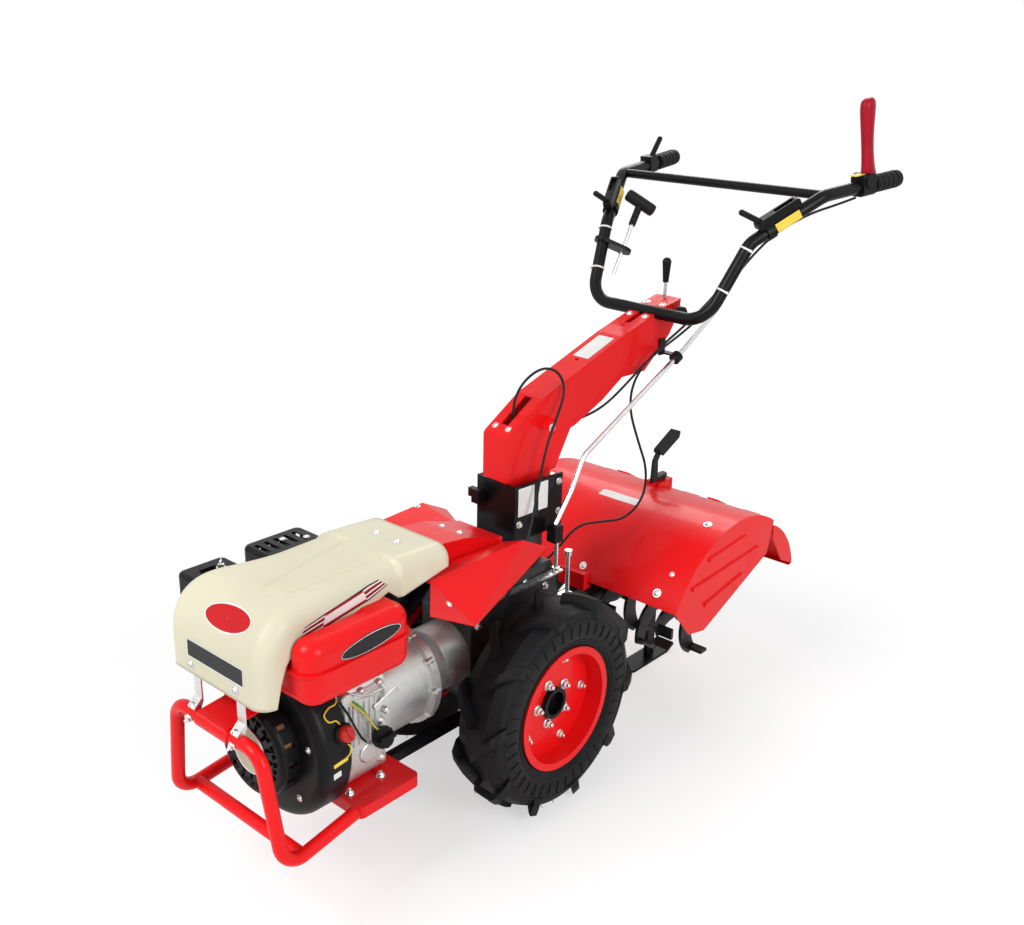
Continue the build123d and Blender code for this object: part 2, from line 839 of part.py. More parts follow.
def handlebar():
    """The bent tube from the clamp to each hand, with the straight bar that ties the arms."""
    arm = [(arm_foot[0], 0, arm_foot[2]), arm_foot, arm_knee, arm_top, arm_end]
    left = bent_rod(arm, handlebar_tube / 2, [70, 60, 60], handlebar_wall)
    reach = arm_top[1] - 6
    crossbar = bar_along_y(crossbar_tube / 2, -reach, reach, arm_top[0] - 8, arm_top[2])
    crossbar -= bent_rod(arm, handlebar_tube / 2 - 1, [70, 60, 60])
    crossbar -= mirrored(bent_rod(arm, handlebar_tube / 2 - 1, [70, 60, 60]))
    return left + mirrored(left) + crossbar


def on_arm(start, end, share, out):
    """A plane on an arm's centre line: Z along the arm and X towards the side given by out."""
    along = (Vector(*end) - Vector(*start)).normalized()
    side = Vector(*out)
    side = side - along * side.dot(along)
    origin = Vector(*start) + (Vector(*end) - Vector(*start)) * share
    return Plane(origin=origin, x_dir=side, z_dir=along)


def grip():
    place = on_arm(arm_top, arm_end, 1.0, (0, 0, 1))
    hole = Circle(handlebar_tube / 2 + 0.15)
    body = extrude(Circle(grip_radius) - hole, amount=-grip_length)
    rings = [Pos(0, 0, -18 * index - 10) * (Circle(grip_radius + 1.2) - hole) for index in range(5)]
    for ring in rings:
        body += extrude(ring, amount=-8)
    return place * body


def clamp_ring(length):
    ring = Cylinder(handlebar_tube / 2 + clamp_wall, length)
    return ring - Cylinder(handlebar_tube / 2 + 0.15, length + 1)


def arm_lever():
    """The lever on the arm: its body on the tube, the clamp round it and the finger that points forward."""
    low = handlebar_tube / 2 + 0.3
    body = Pos(low + lever_body_height / 2, 0, 0) * Box(lever_body_height, lever_body_width, lever_body_length)
    body = fillet(body.edges().filter_by(Axis.Y), 7)
    pocket = Pos(low + lever_body_height, 0, 20) * Box(16, lever_body_width - 8, 52)
    ring = Pos(0, 0, -34) * clamp_ring(20)
    heel = Vector(low + 12, 0, -42)
    tip = Vector(low + 70, 14, -84)
    line = (tip - heel).normalized()
    finger = Plane(origin=heel, z_dir=line) * Pos(0, 0, (tip - heel).length / 2) * Cylinder(
        finger_radius, (tip - heel).length
    )
    ball = Pos(tip.X, tip.Y, tip.Z) * Sphere(finger_radius)
    return (body - pocket) + [ring, finger, ball]


def arm_tag(turn):
    plate = Box(tag_sheet, 20, 66)
    seat = handlebar_tube / 2 + tag_sheet / 2 + 0.2
    return Rot(0, 0, turn) * Pos(seat, 0, 12) * plate


def clutch_housing():
    place = on_arm(arm_top, arm_end, housing_share, (0, 0, 1))
    body = Pos(housing_top - 25, 0, 0) * Box(50, 40, 46)
    body = fillet(body.edges().filter_by(Axis.Z), 10)
    boss = Pos(14, 0, 0) * Rot(90, 0, 0) * Cylinder(17, 46)
    return place * ((body + boss) - Cylinder(handlebar_tube / 2 + 0.15, 80))


def clutch_lever():
    foot = Vector(*clutch_foot)
    tip = Vector(*clutch_tip)
    length = (tip - foot).length
    place = Plane(origin=foot, z_dir=(tip - foot).normalized())
    taper = Cone(clutch_grip_radius * 0.65, clutch_grip_radius, length - clutch_grip_radius)
    taper = Pos(0, 0, (length - clutch_grip_radius) / 2) * taper
    return place * (taper + Pos(0, 0, length - clutch_grip_radius) * Sphere(clutch_grip_radius))


def clutch_tag():
    """The blank plate on the housing's top, in front of the lever."""
    place = on_arm(arm_top, arm_end, housing_share, (0, 0, 1))
    return place * Pos(housing_top + tag_sheet / 2 + 0.2, 0, -27) * Box(tag_sheet, 20, 34)


def right_grip_lever():
    place = on_arm(arm_top, arm_end, 0.5, (0, 0, 1))
    body = place * ((Pos(3, 0, 0) * Box(42, 34, 34)) - Cylinder(handlebar_tube / 2 + 0.15, 60))
    lever = straight_rod((-930, 317, 1326), (-962, 317, 1372), 7)
    return mirrored(body + [lever, Pos(-962, 317, 1372) * Sphere(7)])


def pull_clamp():
    """The plate that holds the pull rod beside the right arm."""
    along = Vector(*pull_high) - Vector(*pull_low)
    arm_point = Vector(-612, -204, 1146)
    rod_point = Vector(*pull_low) + along * 0.47
    middle = (arm_point + rod_point) * 0.5
    gap = rod_point - arm_point
    place = Plane(origin=middle, x_dir=gap, z_dir=along.normalized())
    plate = place * extrude(SlotCenterToCenter(gap.length, 44), amount=5, both=True)
    arm = [(arm_foot[0], 0, arm_foot[2]), arm_foot, arm_knee, arm_top, arm_end]
    tube = mirrored(bent_rod(arm, handlebar_tube / 2 + 0.15, [70, 60, 60]))
    return plate - tube - straight_rod(pull_low, pull_high, pull_rod_radius + 0.15)


def pull_handle():
    bar = straight_rod((-697, -200, 1252), (-739, -154, 1214), pull_bar_radius)
    stem = straight_rod(pull_high, pull_tip, 9)
    return bar + stem


def gear_knob():
    low, radius, length = 7.0, 11.0, 60.0
    taper = Pos(0, 0, (length - radius) / 2) * Cone(low, radius, length - radius)
    knob = taper + Pos(0, 0, length - radius) * Sphere(radius)
    return Pos(knob_x, 0, knob_foot) * knob


def side_knob():
    stub = bar_along_y(6, column_half + seat_clearance, 50, -606, 1004)
    head = bar_along_y(16, 50, 66, -606, 1004)
    return stub + fillet(head.edges().sort_by(Axis.Y)[-1], 6)


def selector_rod():
    return bent_rod(selector_route, selector_radius, [40, 40, 40, 60])


def selector_knob():
    tip = Vector(*selector_route[-1])
    before = Vector(*selector_route[-2])
    place = Plane(origin=tip, z_dir=(tip - before).normalized())
    knob = place * Pos(0, 0, 18) * Cylinder(12, 36)
    return fillet(knob.edges(), 5)


def selector_knuckle():
    """The block at the rod's foot, round underneath where it meets the gearbox's upright pin."""
    x, y = selector_route[0][0], selector_route[0][1]
    body = block(x - 13, x + 13, y - 13, y + 13, knuckle_low, knuckle_high - 8)
    bore = bent_rod(selector_route, selector_radius + 0.1, [40, 40, 40, 60])
    collar = Pos(x, y, knuckle_high - 14) * Cylinder(11, 12)
    return (body + collar) - bore


def selector_guide():
    start = Vector(*selector_route[2])
    end = Vector(*selector_route[3])
    along = (end - start).normalized()
    place = Plane(origin=end - along * 30, x_dir=(0, 1, 0), z_dir=along)
    ring = place * (Cylinder(14, 18) - Cylinder(selector_radius + 0.5, 20))
    strap = block(-572, -550, column_half + 0.2, 80, 911, 915)
    flange = block(-572, -550, column_half + 0.2, column_half + 4, 905, 945)
    bore = straight_rod(selector_route[2], selector_route[3], selector_radius + 0.5)
    return (ring + [strap, flange]) - bore


def cord(points, diameter):
    """A cable along its route, with each bend as large as the two runs beside it allow."""
    bends = []
    for before, here, after in zip(points, points[1:], points[2:]):
        first = Vector(*here) - Vector(*before)
        second = Vector(*after) - Vector(*here)
        turn = math.radians(first.get_angle(second))
        bends.append(0.45 * min(first.length, second.length) / math.tan(turn / 2))
    print("cable bends", [round(bend) for bend in bends])
    return bent_rod(points, diameter / 2, bends)


def arm_cable():
    """From the clutch housing down the left arm, under the column and down inside its foot."""
    route = [
        (-922, 306, 1279),
        (-862, 294, 1266),
        (-790, 270, 1250),
        (-712, 232, 1210),
        (-650, 200, 1144),
        (-606, 164, 1058),
        (-552, 114, 980),
        (-484, 64, 916),
        (-420, 48, 858),
        (-362, 32, 812),
        (-300, 16, 792),
        (-240, 8, 790),
        (-204, 4, 758),
        (-188, 2, 716),
    ]
    return cord(route, cable_diameter)


def engine_cable():
    """Out of the column's top slot, over in a loop and down the left side to the engine's end."""
    route = [
        (-98, -2, 800),
        (-88, -1, 856),
        (-106, 8, 910),
        (-148, 26, 942),
        (-186, 40, 934),
        (-202, 52, 904),
        (-192, 60, 872),
        (-160, 69, 836),
        (-126, 74, 790),
        (-104, 76, 732),
        (-86, 79, 666),
        (-56, 88, 602),
        (-12, 101, 548),
        (30, 108, 496),
        (58, 104, 440),
        (66, 104, 396),
        (66, 92, 366),
        (66, 75.3, 360),
    ]
    return cord(route, cable_diameter)


def gearbox_cable():
    """From the left arm's lever, under the column and down behind it to the gearbox."""
    route = [
        (-668, 245, 1212),
        (-634, 224, 1158),
        (-600, 188, 1076),
        (-556, 136, 996),
        (-496, 90, 930),
        (-448, 66, 868),
        (-440, 62, 796),
        (-462, 78, 712),
        (-486, 94, 636),
        (-476, 96, 562),
        (-412, 88, 524),
        (-330, 74, 538),
        (-262, 58, 546),
        (-205, 40, 487),
        (-159.7, 38, 472),
    ]
    return cord(route, cable_diameter)


def selector_links():
    """The upright pins and the strip that lead from the selector rod into the gearbox."""
    x, y = -151, 88
    strip = block(-166, 44, y - 10, y + 10, 472, 476)
    pin = bar_along_z(5, 476, knuckle_low - seat_clearance, x, y)
    nut = bar_along_z(9, 476, 484, x, y)
    lugs = [block(x_low, x_low + 14, gearbox_half + 0.2, y, 466, 472) for x_low in (-140, 20)]
    second = bar_along_z(5, 404, 512, -196, y)
    head = bar_along_z(9, 500, 512, -196, y)
    arm = block(-206, -150, gearbox_half + 0.2, y + 8, 398, 404)
    return [(strip + pin) + [nut] + lugs, (second + head) + arm]


def add_handlebar():
    lever_place = on_arm(arm_knee, arm_top, 0.42, (0.6, -0.2, 0.8))
    left_lever = lever_place * arm_lever()
    shapes = {
        "handlebar": handlebar(),
        "grips": Compound(children=[grip(), mirrored(grip())]),
        "handlebar_column": column(),
        "turntable_bracket": turntable_bracket(),
        "turntable_lock_lever": lock_lever(),
        "clutch_lever": clutch_lever(),
        "clutch_lever_housing": clutch_housing() - straight_rod(clutch_foot, clutch_tip, 9.5),
        "arm_levers": Compound(children=[left_lever, mirrored(left_lever)]),
        "right_grip_lever": right_grip_lever(),
        "lever_tags": Compound(
            children=[lever_place * arm_tag(78), mirrored(lever_place * arm_tag(-78)), clutch_tag()]
        ),
        "pull_handle": Compound(children=[pull_handle(), pull_clamp()]),
        "pull_handle_rod": straight_rod(pull_low, pull_high, pull_rod_radius),
        "gear_lever": bar_along_z(4, gear_lever_foot, knob_foot - 0.2, knob_x, 0),
        "selector_rod": selector_rod(),
        "selector_brackets": Compound(children=[selector_knuckle(), selector_guide()]),
        "control_knobs": Compound(children=[gear_knob(), selector_knob(), side_knob()]),
        "arm_cable": arm_cable(),
    }
    for name, shape in shapes.items():
        nodes[name] = swung(shape)
    nodes["engine_cable"] = engine_cable()
    nodes["gearbox_cable"] = gearbox_cable()
    links = selector_links()
    nodes["selector_links"] = Compound(children=links)


# Tiller

def tiller_profile(inset):
    return (
        ThreePointArc((-334 - inset, 368), (-462, 492 - inset), (-620, 527 - inset))
        + ThreePointArc((-620, 527 - inset), (-700, 510 - inset), (hinge_x + 16, hinge_height + 13 - inset))
    )


def tiller_hood():
    outer = tiller_profile(0)
    inner = tiller_profile(tiller_sheet)
    sheet = make_face(outer + inner + Line(outer @ 0, inner @ 0) + Line(outer @ 1, inner @ 1))
    shape = side_slab(sheet, -tiller_half, tiller_half)
    ear = outline(
        (hinge_x - 2, hinge_height + hinge_barrel_radius),
        (hinge_x + 34, hinge_height + 30),
        (hinge_x + 38, hinge_height + 20),
        (hinge_x + 6, hinge_height - 6),
    )
    front = block(-349.7, -322, -40, 40, 346, 388)
    guide = block(stalk_x - 28, stalk_x + 34, -20, 20, 500, 532)
    shape = shape.fuse(front, guide)
    for place in ear_places:
        shape += side_slab(ear, place - ear_half, place + ear_half)
        shape += bar_along_y(hinge_barrel_radius, place - ear_half, place + ear_half, hinge_x, hinge_height)
    shape -= bar_along_y(hinge_rod_radius + 0.15, -tiller_half, tiller_half, hinge_x, hinge_height)
    gap = seat_clearance
    slot = block(
        stalk_x - stalk_half - gap,
        stalk_x + stalk_half + gap,
        -stalk_sheet / 2 - gap,
        stalk_sheet / 2 + gap,
        440,
        560,
    )
    return shape - slot


def tiller_side():
    """The end plate of the tiller's hood, with three pressed ribs."""
    outer = tiller_profile(0)
    face = make_face(
        outer
        + Polyline(outer @ 1, (-747, 392), (-467, 278), (-400, 292), outer @ 0)
    )
    plate = side_slab(face, tiller_half, tiller_half + tiller_sheet)
    outside = tiller_half + tiller_sheet
    inner_half = block(-900, -300, 0, tiller_half + tiller_sheet / 2, 200, 600)
    for start, end in side_ribs:
        rib = straight_rod((start[0], outside, start[1]), (end[0], outside, end[1]), rib_radius)
        plate += rib - inner_half
    return plate


def tiller_drive():
    tube = straight_rod(
        (gearbox_rear, 0, drive_height), (rotor_x + 40, 0, rotor_height - 22), drive_tube_radius
    )
    case = bar_along_y(case_radius, -case_half, case_half, rotor_x, rotor_height)
    bore = bar_along_y(rotor_shaft_radius + running_clearance, -case_half - 1, case_half + 1, rotor_x, rotor_height)
    flange = bar_along_x(drive_flange_radius, gearbox_rear - 16, gearbox_rear, 0, drive_height)
    roof = tiller_profile(tiller_sheet)
    below = make_face(roof + Polyline(roof @ 1, (hinge_x, 200), (-334, 200), roof @ 0))
    web = side_slab(below, -4, 4) & block(-520, -350, -4, 4, 270, 540)
    shape = (tube - block(gearbox_rear, 0, -100, 100, 200, 500)) + [case, flange, web]
    return shape - bore


def tine_rotor():
    """Three flanges on each side of the gear case, each with a ring of curved blades with a turned foot."""
    pieces = [bar_along_y(rotor_shaft_radius, -rotor_half, rotor_half)]
    tip = tine_reach - 4
    lead = ThreePointArc((30, tine_width / 2), (tip / 2, tine_width / 2 + 10), (tip, -tine_width / 4))
    trail = ThreePointArc((tip - 10, -tine_width), (tip / 2, -tine_width / 3), (30, -tine_width / 2))
    arm = make_face(lead + Line(lead @ 1, trail @ 0) + trail + Line(trail @ 1, lead @ 0))
    for number, y in enumerate(flange_places):
        blade_from = y + flange_sheet / 2
        blade_to = blade_from + tine_sheet
        for index in range(tines_per_flange):
            turn = Rot(0, 360 / tines_per_flange * index + tine_stagger * number, 0)
            blade = side_slab(arm, blade_from, blade_to)
            foot = block(
                tip - 10 - tine_sheet, tip - 10, blade_from, blade_from + tine_foot, 4 - tine_width, -tine_width / 4
            )
            blade = turn * (blade + foot)
            pieces.append(blade)
            pieces.append(mirrored(blade))
        flange = bar_along_y(flange_radius, y - flange_sheet / 2, y + flange_sheet / 2)
        pieces.append(flange)
        pieces.append(mirrored(flange))
    rotor = pieces[0].fuse(*pieces[1:])
    return Pos(rotor_x, 0, rotor_height) * rotor


def rear_flap():
    """The flap's sheet, stiffened by a folded rear edge, and the barrels that turn on the hinge rod."""
    pivot = Vector(hinge_x, 0, hinge_height)
    tip = Vector(flap_tip_x, 0, flap_tip_height)
    along = (tip - pivot).normalized()
    normal = Vector(-along.Z, 0, along.X)
    if normal.Z < 0:
        normal = normal * -1

    def at(distance, height):
        point = pivot + along * distance + normal * height
        return (point.X, point.Z)

    reach = (tip - pivot).length
    middle = (reach + 16) / 2
    top = ThreePointArc(at(16, 0), at(middle, flap_bulge), at(reach, 0))
    fold = Polyline(at(reach, 0), at(reach - 8, -14), at(reach - 11, -14), at(reach - 4, -tiller_sheet))
    under = ThreePointArc(
        at(reach - 4, -tiller_sheet), at(middle, flap_bulge - tiller_sheet), at(16, -tiller_sheet)
    )
    sheet = side_slab(
        make_face(top + fold + under + Line(at(16, -tiller_sheet), at(16, 0))), -flap_half, flap_half
    )
    cheek = make_face(under + Line(at(16, -tiller_sheet), at(reach - 4, -tiller_sheet)))
    cheek += outline(at(16, -tiller_sheet), at(reach - 4, -tiller_sheet), at(reach - 60, -30), at(40, -24))
    sheet += side_slab(cheek, flap_half - tiller_sheet, flap_half)
    sheet += side_slab(cheek, -flap_half, -flap_half + tiller_sheet)
    leaf = outline(at(0, 4), at(30, 4), at(30, -tiller_sheet), at(0, -7))
    for place in barrel_places:
        sheet += side_slab(leaf, place - barrel_half, place + barrel_half)
        sheet += bar_along_y(hinge_barrel_radius, place - barrel_half, place + barrel_half, hinge_x, hinge_height)
    return sheet - bar_along_y(hinge_rod_radius + 0.1, -tiller_half, tiller_half, hinge_x, hinge_height)


def depth_skid():
    """The shoe on the ground behind the gear case, and the flat bar that carries it through the hood."""
    shoe = side_slab(
        outline(
            (-540, 42),
            (-566, 8 + skid_sheet),
            (-590, skid_sheet),
            (-740, skid_sheet),
            (-770, skid_sheet + 14),
            (-774, 14),
            (-744, 0),
            (-588, 0),
            (-560, 8),
            (-534, 36),
        ),
        -skid_half,
        skid_half,
    )
    stalk = block(
        stalk_x - stalk_half,
        stalk_x + stalk_half,
        -stalk_sheet / 2,
        stalk_sheet / 2,
        skid_sheet - 1,
        stalk_top,
    )
    return shoe + stalk


def depth_lever():
    """The cranked lever on top of the hood that sets the shoe's depth."""
    link = block(stalk_x - 12, -636, stalk_sheet / 2 + 0.2, stalk_sheet / 2 + 6, 536, 548)
    arm = side_slab(
        outline((-632, 536), (-660, 536), (-656, 592), (-668, 612), (-652, 618), (-636, 598)), 6.2, 12.2
    )
    handle = side_slab(
        outline((-652, 616), (-666, 606), (-738, 640), (-742, 656), (-728, 662), (-654, 624)), -2, 20
    )
    return (link + arm) + fillet(handle.edges().filter_by(Axis.Y), 4)


def add_tiller():
    nodes["tiller_hood"] = tiller_hood()
    side = tiller_side()
    nodes["tiller_side_left"] = side
    nodes["tiller_side_right"] = mirrored(side)
    nodes["tiller_drive"] = tiller_drive()
    nodes["tine_rotor"] = tine_rotor()
    nodes["rear_flap"] = rear_flap()
    nodes["flap_hinge_rod"] = bar_along_y(hinge_rod_radius, -flap_half, flap_half, hinge_x, hinge_height)
    nodes["depth_skid"] = depth_skid()
    nodes["depth_lever"] = depth_lever()


add_wheels()
nodes["front_bumper"] = front_bumper()
nodes["engine_plate"] = engine_plate()
nodes["frame_rails"] = Compound(children=frame_rails())
nodes["hood_struts"] = Compound(children=hood_struts())
nodes["crankcase"] = crankcase()
nodes["oil_filler_cap"] = oil_filler()
nodes["fan_shroud"] = fan_shroud()
nodes["recoil_starter"] = recoil_starter()
nodes["recoil_disc"] = recoil_disc()
nodes["fuel_tank"] = fuel_tank()
nodes["air_cleaner"] = air_cleaner()
nodes["muffler"] = muffler()
nodes["exhaust_pipe"] = exhaust_pipe()
nodes["bell_housing"] = bell_housing()
nodes["gearbox"] = gearbox()
nodes["hood"] = hood()
ridge, fender = fenders_and_cover()
nodes["mid_cover"] = ridge
nodes["fender_left"] = fender
muffler_room = block(
    muffler_rear - 8, muffler_front + 8, muffler_outer - 8, muffler_inner + 8, muffler_bottom - 8, muffler_top + 8
)
nodes["fender_right"] = mirrored(fender) - muffler_room
add_handlebar()
add_tiller()

os.makedirs("parts", exist_ok=True)
for name, shape in nodes.items():
    export_step(shape, f"parts/{name}.step")
    print(name, len(shape.solids()), round(shape.volume))
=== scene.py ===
# %% [markdown]
# A walking tiller, dressed for a studio picture.
# The solid model gives every rigid form and where it sits. This script gives the finishes, the small
# fasteners, the bent cables and the light, and draws two forms again that have soft curves: the hood's
# skin and the clutch lever's grip. It is meant to be read from top to bottom: each cell says what the
# real thing is, which ways there are to make it in Blender, and why one of them was taken.

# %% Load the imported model
import math
import random
from itertools import product

import bmesh
import bpy
from mathutils import Matrix, Vector
from mathutils.bvhtree import BVHTree


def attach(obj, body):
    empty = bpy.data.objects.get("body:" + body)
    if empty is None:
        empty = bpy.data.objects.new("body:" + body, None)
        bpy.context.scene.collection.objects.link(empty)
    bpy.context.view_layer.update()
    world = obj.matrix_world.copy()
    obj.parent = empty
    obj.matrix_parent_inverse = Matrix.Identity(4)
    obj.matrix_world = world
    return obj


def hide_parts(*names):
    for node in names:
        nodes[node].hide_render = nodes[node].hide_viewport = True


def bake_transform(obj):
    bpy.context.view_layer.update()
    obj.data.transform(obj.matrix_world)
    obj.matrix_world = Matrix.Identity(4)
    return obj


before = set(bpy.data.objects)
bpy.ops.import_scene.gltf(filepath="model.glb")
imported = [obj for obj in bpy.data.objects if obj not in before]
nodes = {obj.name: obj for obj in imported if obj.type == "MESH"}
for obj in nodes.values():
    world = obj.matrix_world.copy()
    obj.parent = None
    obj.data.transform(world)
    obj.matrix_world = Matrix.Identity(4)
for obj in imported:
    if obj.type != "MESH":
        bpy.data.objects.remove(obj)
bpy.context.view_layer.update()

MM = 0.001
WHITE = (1.0, 1.0, 1.0, 1.0)
UP, LEFT, FRONT = (0, 0, 1), (0, 1, 0), (1, 0, 0)
scene = bpy.context.scene


def mm(x, y, z):
    """A place given in millimetres."""
    return Vector((x, y, z)) * MM


def around(count, start=0.0):
    """Even angles round a circle. The start is a share of one step."""
    return [math.tau * (index + start) / count for index in range(count)]


def placed(name, data):
    """A new object, linked into the scene."""
    thing = bpy.data.objects.new(name, data)
    scene.collection.objects.link(thing)
    return thing


# %% [markdown]
# The camera stands where the photographer stood: in front of the machine, to its left and a little above.
# A camera can be turned by Euler angles or by three axes. Three axes are easier to check, because they
# are the picture's right, its up and the way back to the lens. The small roll is that of the photograph.

# %% Camera
def camera_axes(azimuth, elevation, roll):
    """The picture's right, up and backward directions."""
    level = math.cos(elevation)
    back = Vector((level * math.cos(azimuth), level * math.sin(azimuth), math.sin(elevation)))
    right = Vector((-math.sin(azimuth), math.cos(azimuth), 0))
    up = back.cross(right)
    turned_right = right * math.cos(roll) + up * math.sin(roll)
    turned_up = up * math.cos(roll) - right * math.sin(roll)
    return turned_right, turned_up, back


aim = Vector((-0.33195, -0.21001, 0.61497))
distance = 2.88222
right, up, back = camera_axes(math.radians(41.19), math.radians(19.89), math.radians(1.2286))
lens = bpy.data.cameras.new("studio_camera")
lens.lens = 40.244
lens.sensor_width = 36.0
camera = placed("studio_camera", lens)
camera_turn = Matrix((right, up, back)).transposed().to_4x4()
camera.matrix_world = Matrix.Translation(aim + back * distance) @ camera_turn
scene.camera = camera
print("camera at", [round(value, 3) for value in camera.location])

# %% [markdown]
# Shader maths reads best as ordinary arithmetic. The class below wraps one output socket of a material,
# and Python's operators on it add the Math nodes. The reflected forms let 1 - mask work as well as
# mask - 1. It is for single numbers only: colours go through Mix, because Math turns a colour grey.

# %% Sockets as numbers
class Term:
    """One output socket that can stand in a Python expression."""

    def __init__(self, graph, socket):
        self.graph = graph
        self.socket = socket

    def math(self, operation, first, second=0.0, clamp=False):
        settings = {"operation": operation, "use_clamp": clamp}
        return self.graph.node("ShaderNodeMath", settings, {0: first, 1: second})

    def __add__(self, other):
        return self.math("ADD", self, other)

    def __radd__(self, other):
        return self.math("ADD", other, self)

    def __sub__(self, other):
        return self.math("SUBTRACT", self, other)

    def __rsub__(self, other):
        return self.math("SUBTRACT", other, self)

    def __mul__(self, other):
        return self.math("MULTIPLY", self, other)

    def __rmul__(self, other):
        return self.math("MULTIPLY", other, self)

    def __truediv__(self, other):
        return self.math("DIVIDE", self, other)

    def __rtruediv__(self, other):
        return self.math("DIVIDE", other, self)

    def clamped(self):
        return self.math("ADD", self, 0.0, True)

    def ramp(self, low, high):
        """0 at low, 1 at high, and even between them."""
        return ((self - low) / (high - low)).clamped()


# %% [markdown]
# A material is a small graph of nodes, and so is the world. One method makes any node: it takes the
# node's type, the settings that must be set before its sockets mean anything, and the values or links of
# its sockets. The other methods are the few patterns that the finishes share: noise, a mix of two colours,
# and bump. The texture space is each mesh's own, so a pattern stays on a piece when a joint moves it.

# %% Materials from one method
class Graph:
    """A node tree whose nodes are all made by one method."""

    def __init__(self, tree):
        self.tree = tree

    def node(self, kind, settings=None, sockets=None, output=0):
        node = self.tree.nodes.new(kind)
        for setting, value in (settings or {}).items():
            setattr(node, setting, value)
        for socket, value in (sockets or {}).items():
            self.feed(node.inputs[socket], value)
        return Term(self, node.outputs[output]) if node.outputs else None

    def feed(self, socket, value):
        if isinstance(value, Term):
            self.tree.links.new(value.socket, socket)
        else:
            socket.default_value = value


class Finish(Graph):
    """A material, with the patterns that its surface is made of."""

    made = {}

    def __init__(self, name, colour, roughness=0.5, **sockets):
        self.material = bpy.data.materials.new(name)
        self.material.use_nodes = True
        super().__init__(self.material.node_tree)
        self.shader = next(node for node in self.tree.nodes if node.type == "BSDF_PRINCIPLED")
        self.place = self.node("ShaderNodeTexCoord", output="Object")
        self.colour = (*colour, 1.0)
        self.set("Base Color", self.colour)
        self.set("Roughness", roughness)
        for socket, value in sockets.items():
            self.set(socket.replace("_", " ").title().replace("Ior", "IOR"), value)
        Finish.made[name] = self

    def set(self, socket, value):
        self.feed(self.shader.inputs[socket], value)

    def noise(self, scale, detail=2.0, roughness=0.5, stretch=None):
        place = self.place
        if stretch:
            place = self.node("ShaderNodeMapping", {}, {"Vector": place, "Scale": stretch})
        sockets = {"Vector": place, "Scale": scale, "Detail": detail, "Roughness": roughness}
        return self.node("ShaderNodeTexNoise", {}, sockets)

    def mix(self, mask, first, second):
        """A colour that is first where the mask is 0 and second where it is 1."""
        return self.node("ShaderNodeMix", {"data_type": "RGBA"}, {0: mask, 6: first, 7: second}, 2)

    def shade(self, factor):
        """The finish's own colour, darker or lighter."""
        return (*(min(1.0, part * factor) for part in self.colour[:3]), 1.0)

    def vary(self, mask, darker, lighter):
        """Lets the colour drift between two shades of itself."""
        self.set("Base Color", self.mix(mask, self.shade(darker), self.shade(lighter)))

    def bump(self, height, strength, distance):
        sockets = {"Strength": strength, "Distance": distance, "Height": height}
        self.set("Normal", self.node("ShaderNodeBump", {}, sockets, "Normal"))


# %% [markdown]
# Sprayed paint on sheet steel is a smooth coat with a slight ripple, the orange peel, that shows only
# where a lamp is mirrored in it. A thin coat layer over a satin base gives a soft wide glow and a sharp
# narrow one together. The ripple is a fine bump, the colour drifts by a few percent, and in patches the
# coat is a little duller, as handling leaves it.

# %% Paints
def paint(name, colour, roughness, coat):
    finish = Finish(name, colour, roughness, coat_roughness=0.10, specular_ior_level=0.12)
    drift = finish.noise(3.0, 3.0)
    handled = finish.noise(14.0, 4.0, 0.6)
    orange_peel = finish.noise(420.0, 1.0)
    finish.vary(drift.ramp(0.35, 0.65), 0.94, 1.05)
    finish.set("Roughness", roughness + 0.10 * handled.ramp(0.45, 0.75))
    finish.set("Coat Weight", coat - 0.10 * handled.ramp(0.5, 0.8))
    finish.bump(orange_peel, 0.10, 0.0004)
    return finish


red_paint = paint("red paint", (0.760, 0.007, 0.009), 0.32, 0.16)
cream_paint = paint("cream paint", (0.660, 0.620, 0.470), 0.40, 0.14)
paint("black paint", (0.004, 0.004, 0.005), 0.32, 0.08)
recoil_red = paint("recoil red", (0.500, 0.020, 0.018), 0.38, 0.40)
print("paints:", len(Finish.made))

# %% [markdown]
# Cast aluminium comes out of a sand mould, so it has a grain like fine sugar, and a shot-blasted part
# catches light in many small facets. Two sizes of noise as bump do that. Dirt and oxide lie in the low
# spots, so the fine noise darkens the colour too, and the broad one makes patches duller. Plate is even,
# with faint streaks.

# %% Bare, cast and plated metals
def cast_metal(name, colour, roughness, grain, depth):
    finish = Finish(name, colour, roughness, metallic=0.85)
    fine = finish.noise(grain, 3.0, 0.6)
    broad = finish.noise(22.0, 3.0)
    finish.vary(fine.ramp(0.35, 0.6), 0.84, 1.05)
    finish.set("Roughness", roughness + 0.18 * broad.ramp(0.4, 0.7))
    finish.bump(0.7 * fine + 0.3 * broad, 0.35, depth)
    return finish


def plated(name, colour, roughness):
    finish = Finish(name, colour, roughness, metallic=1.0)
    streaks = finish.noise(60.0, 3.0, 0.6, (1.0, 1.0, 6.0))
    finish.vary(streaks.ramp(0.3, 0.7), 0.88, 1.05)
    finish.set("Roughness", roughness + 0.12 * streaks.ramp(0.35, 0.75))
    return finish


cast_aluminium = cast_metal("cast aluminium", (0.600, 0.600, 0.585), 0.40, 420.0, 0.0004)
cast_metal("gearbox casting", (0.060, 0.062, 0.066), 0.46, 180.0, 0.0010)
cast_metal("tine steel", (0.030, 0.031, 0.034), 0.34, 120.0, 0.0003)
copper_winding = cast_metal("copper winding", (0.300, 0.150, 0.070), 0.42, 300.0, 0.0006)
zinc_plate = plated("zinc plate", (0.720, 0.720, 0.700), 0.26)
plated("chrome rod", (0.800, 0.800, 0.810), 0.14)
print("paints and metals:", len(Finish.made))

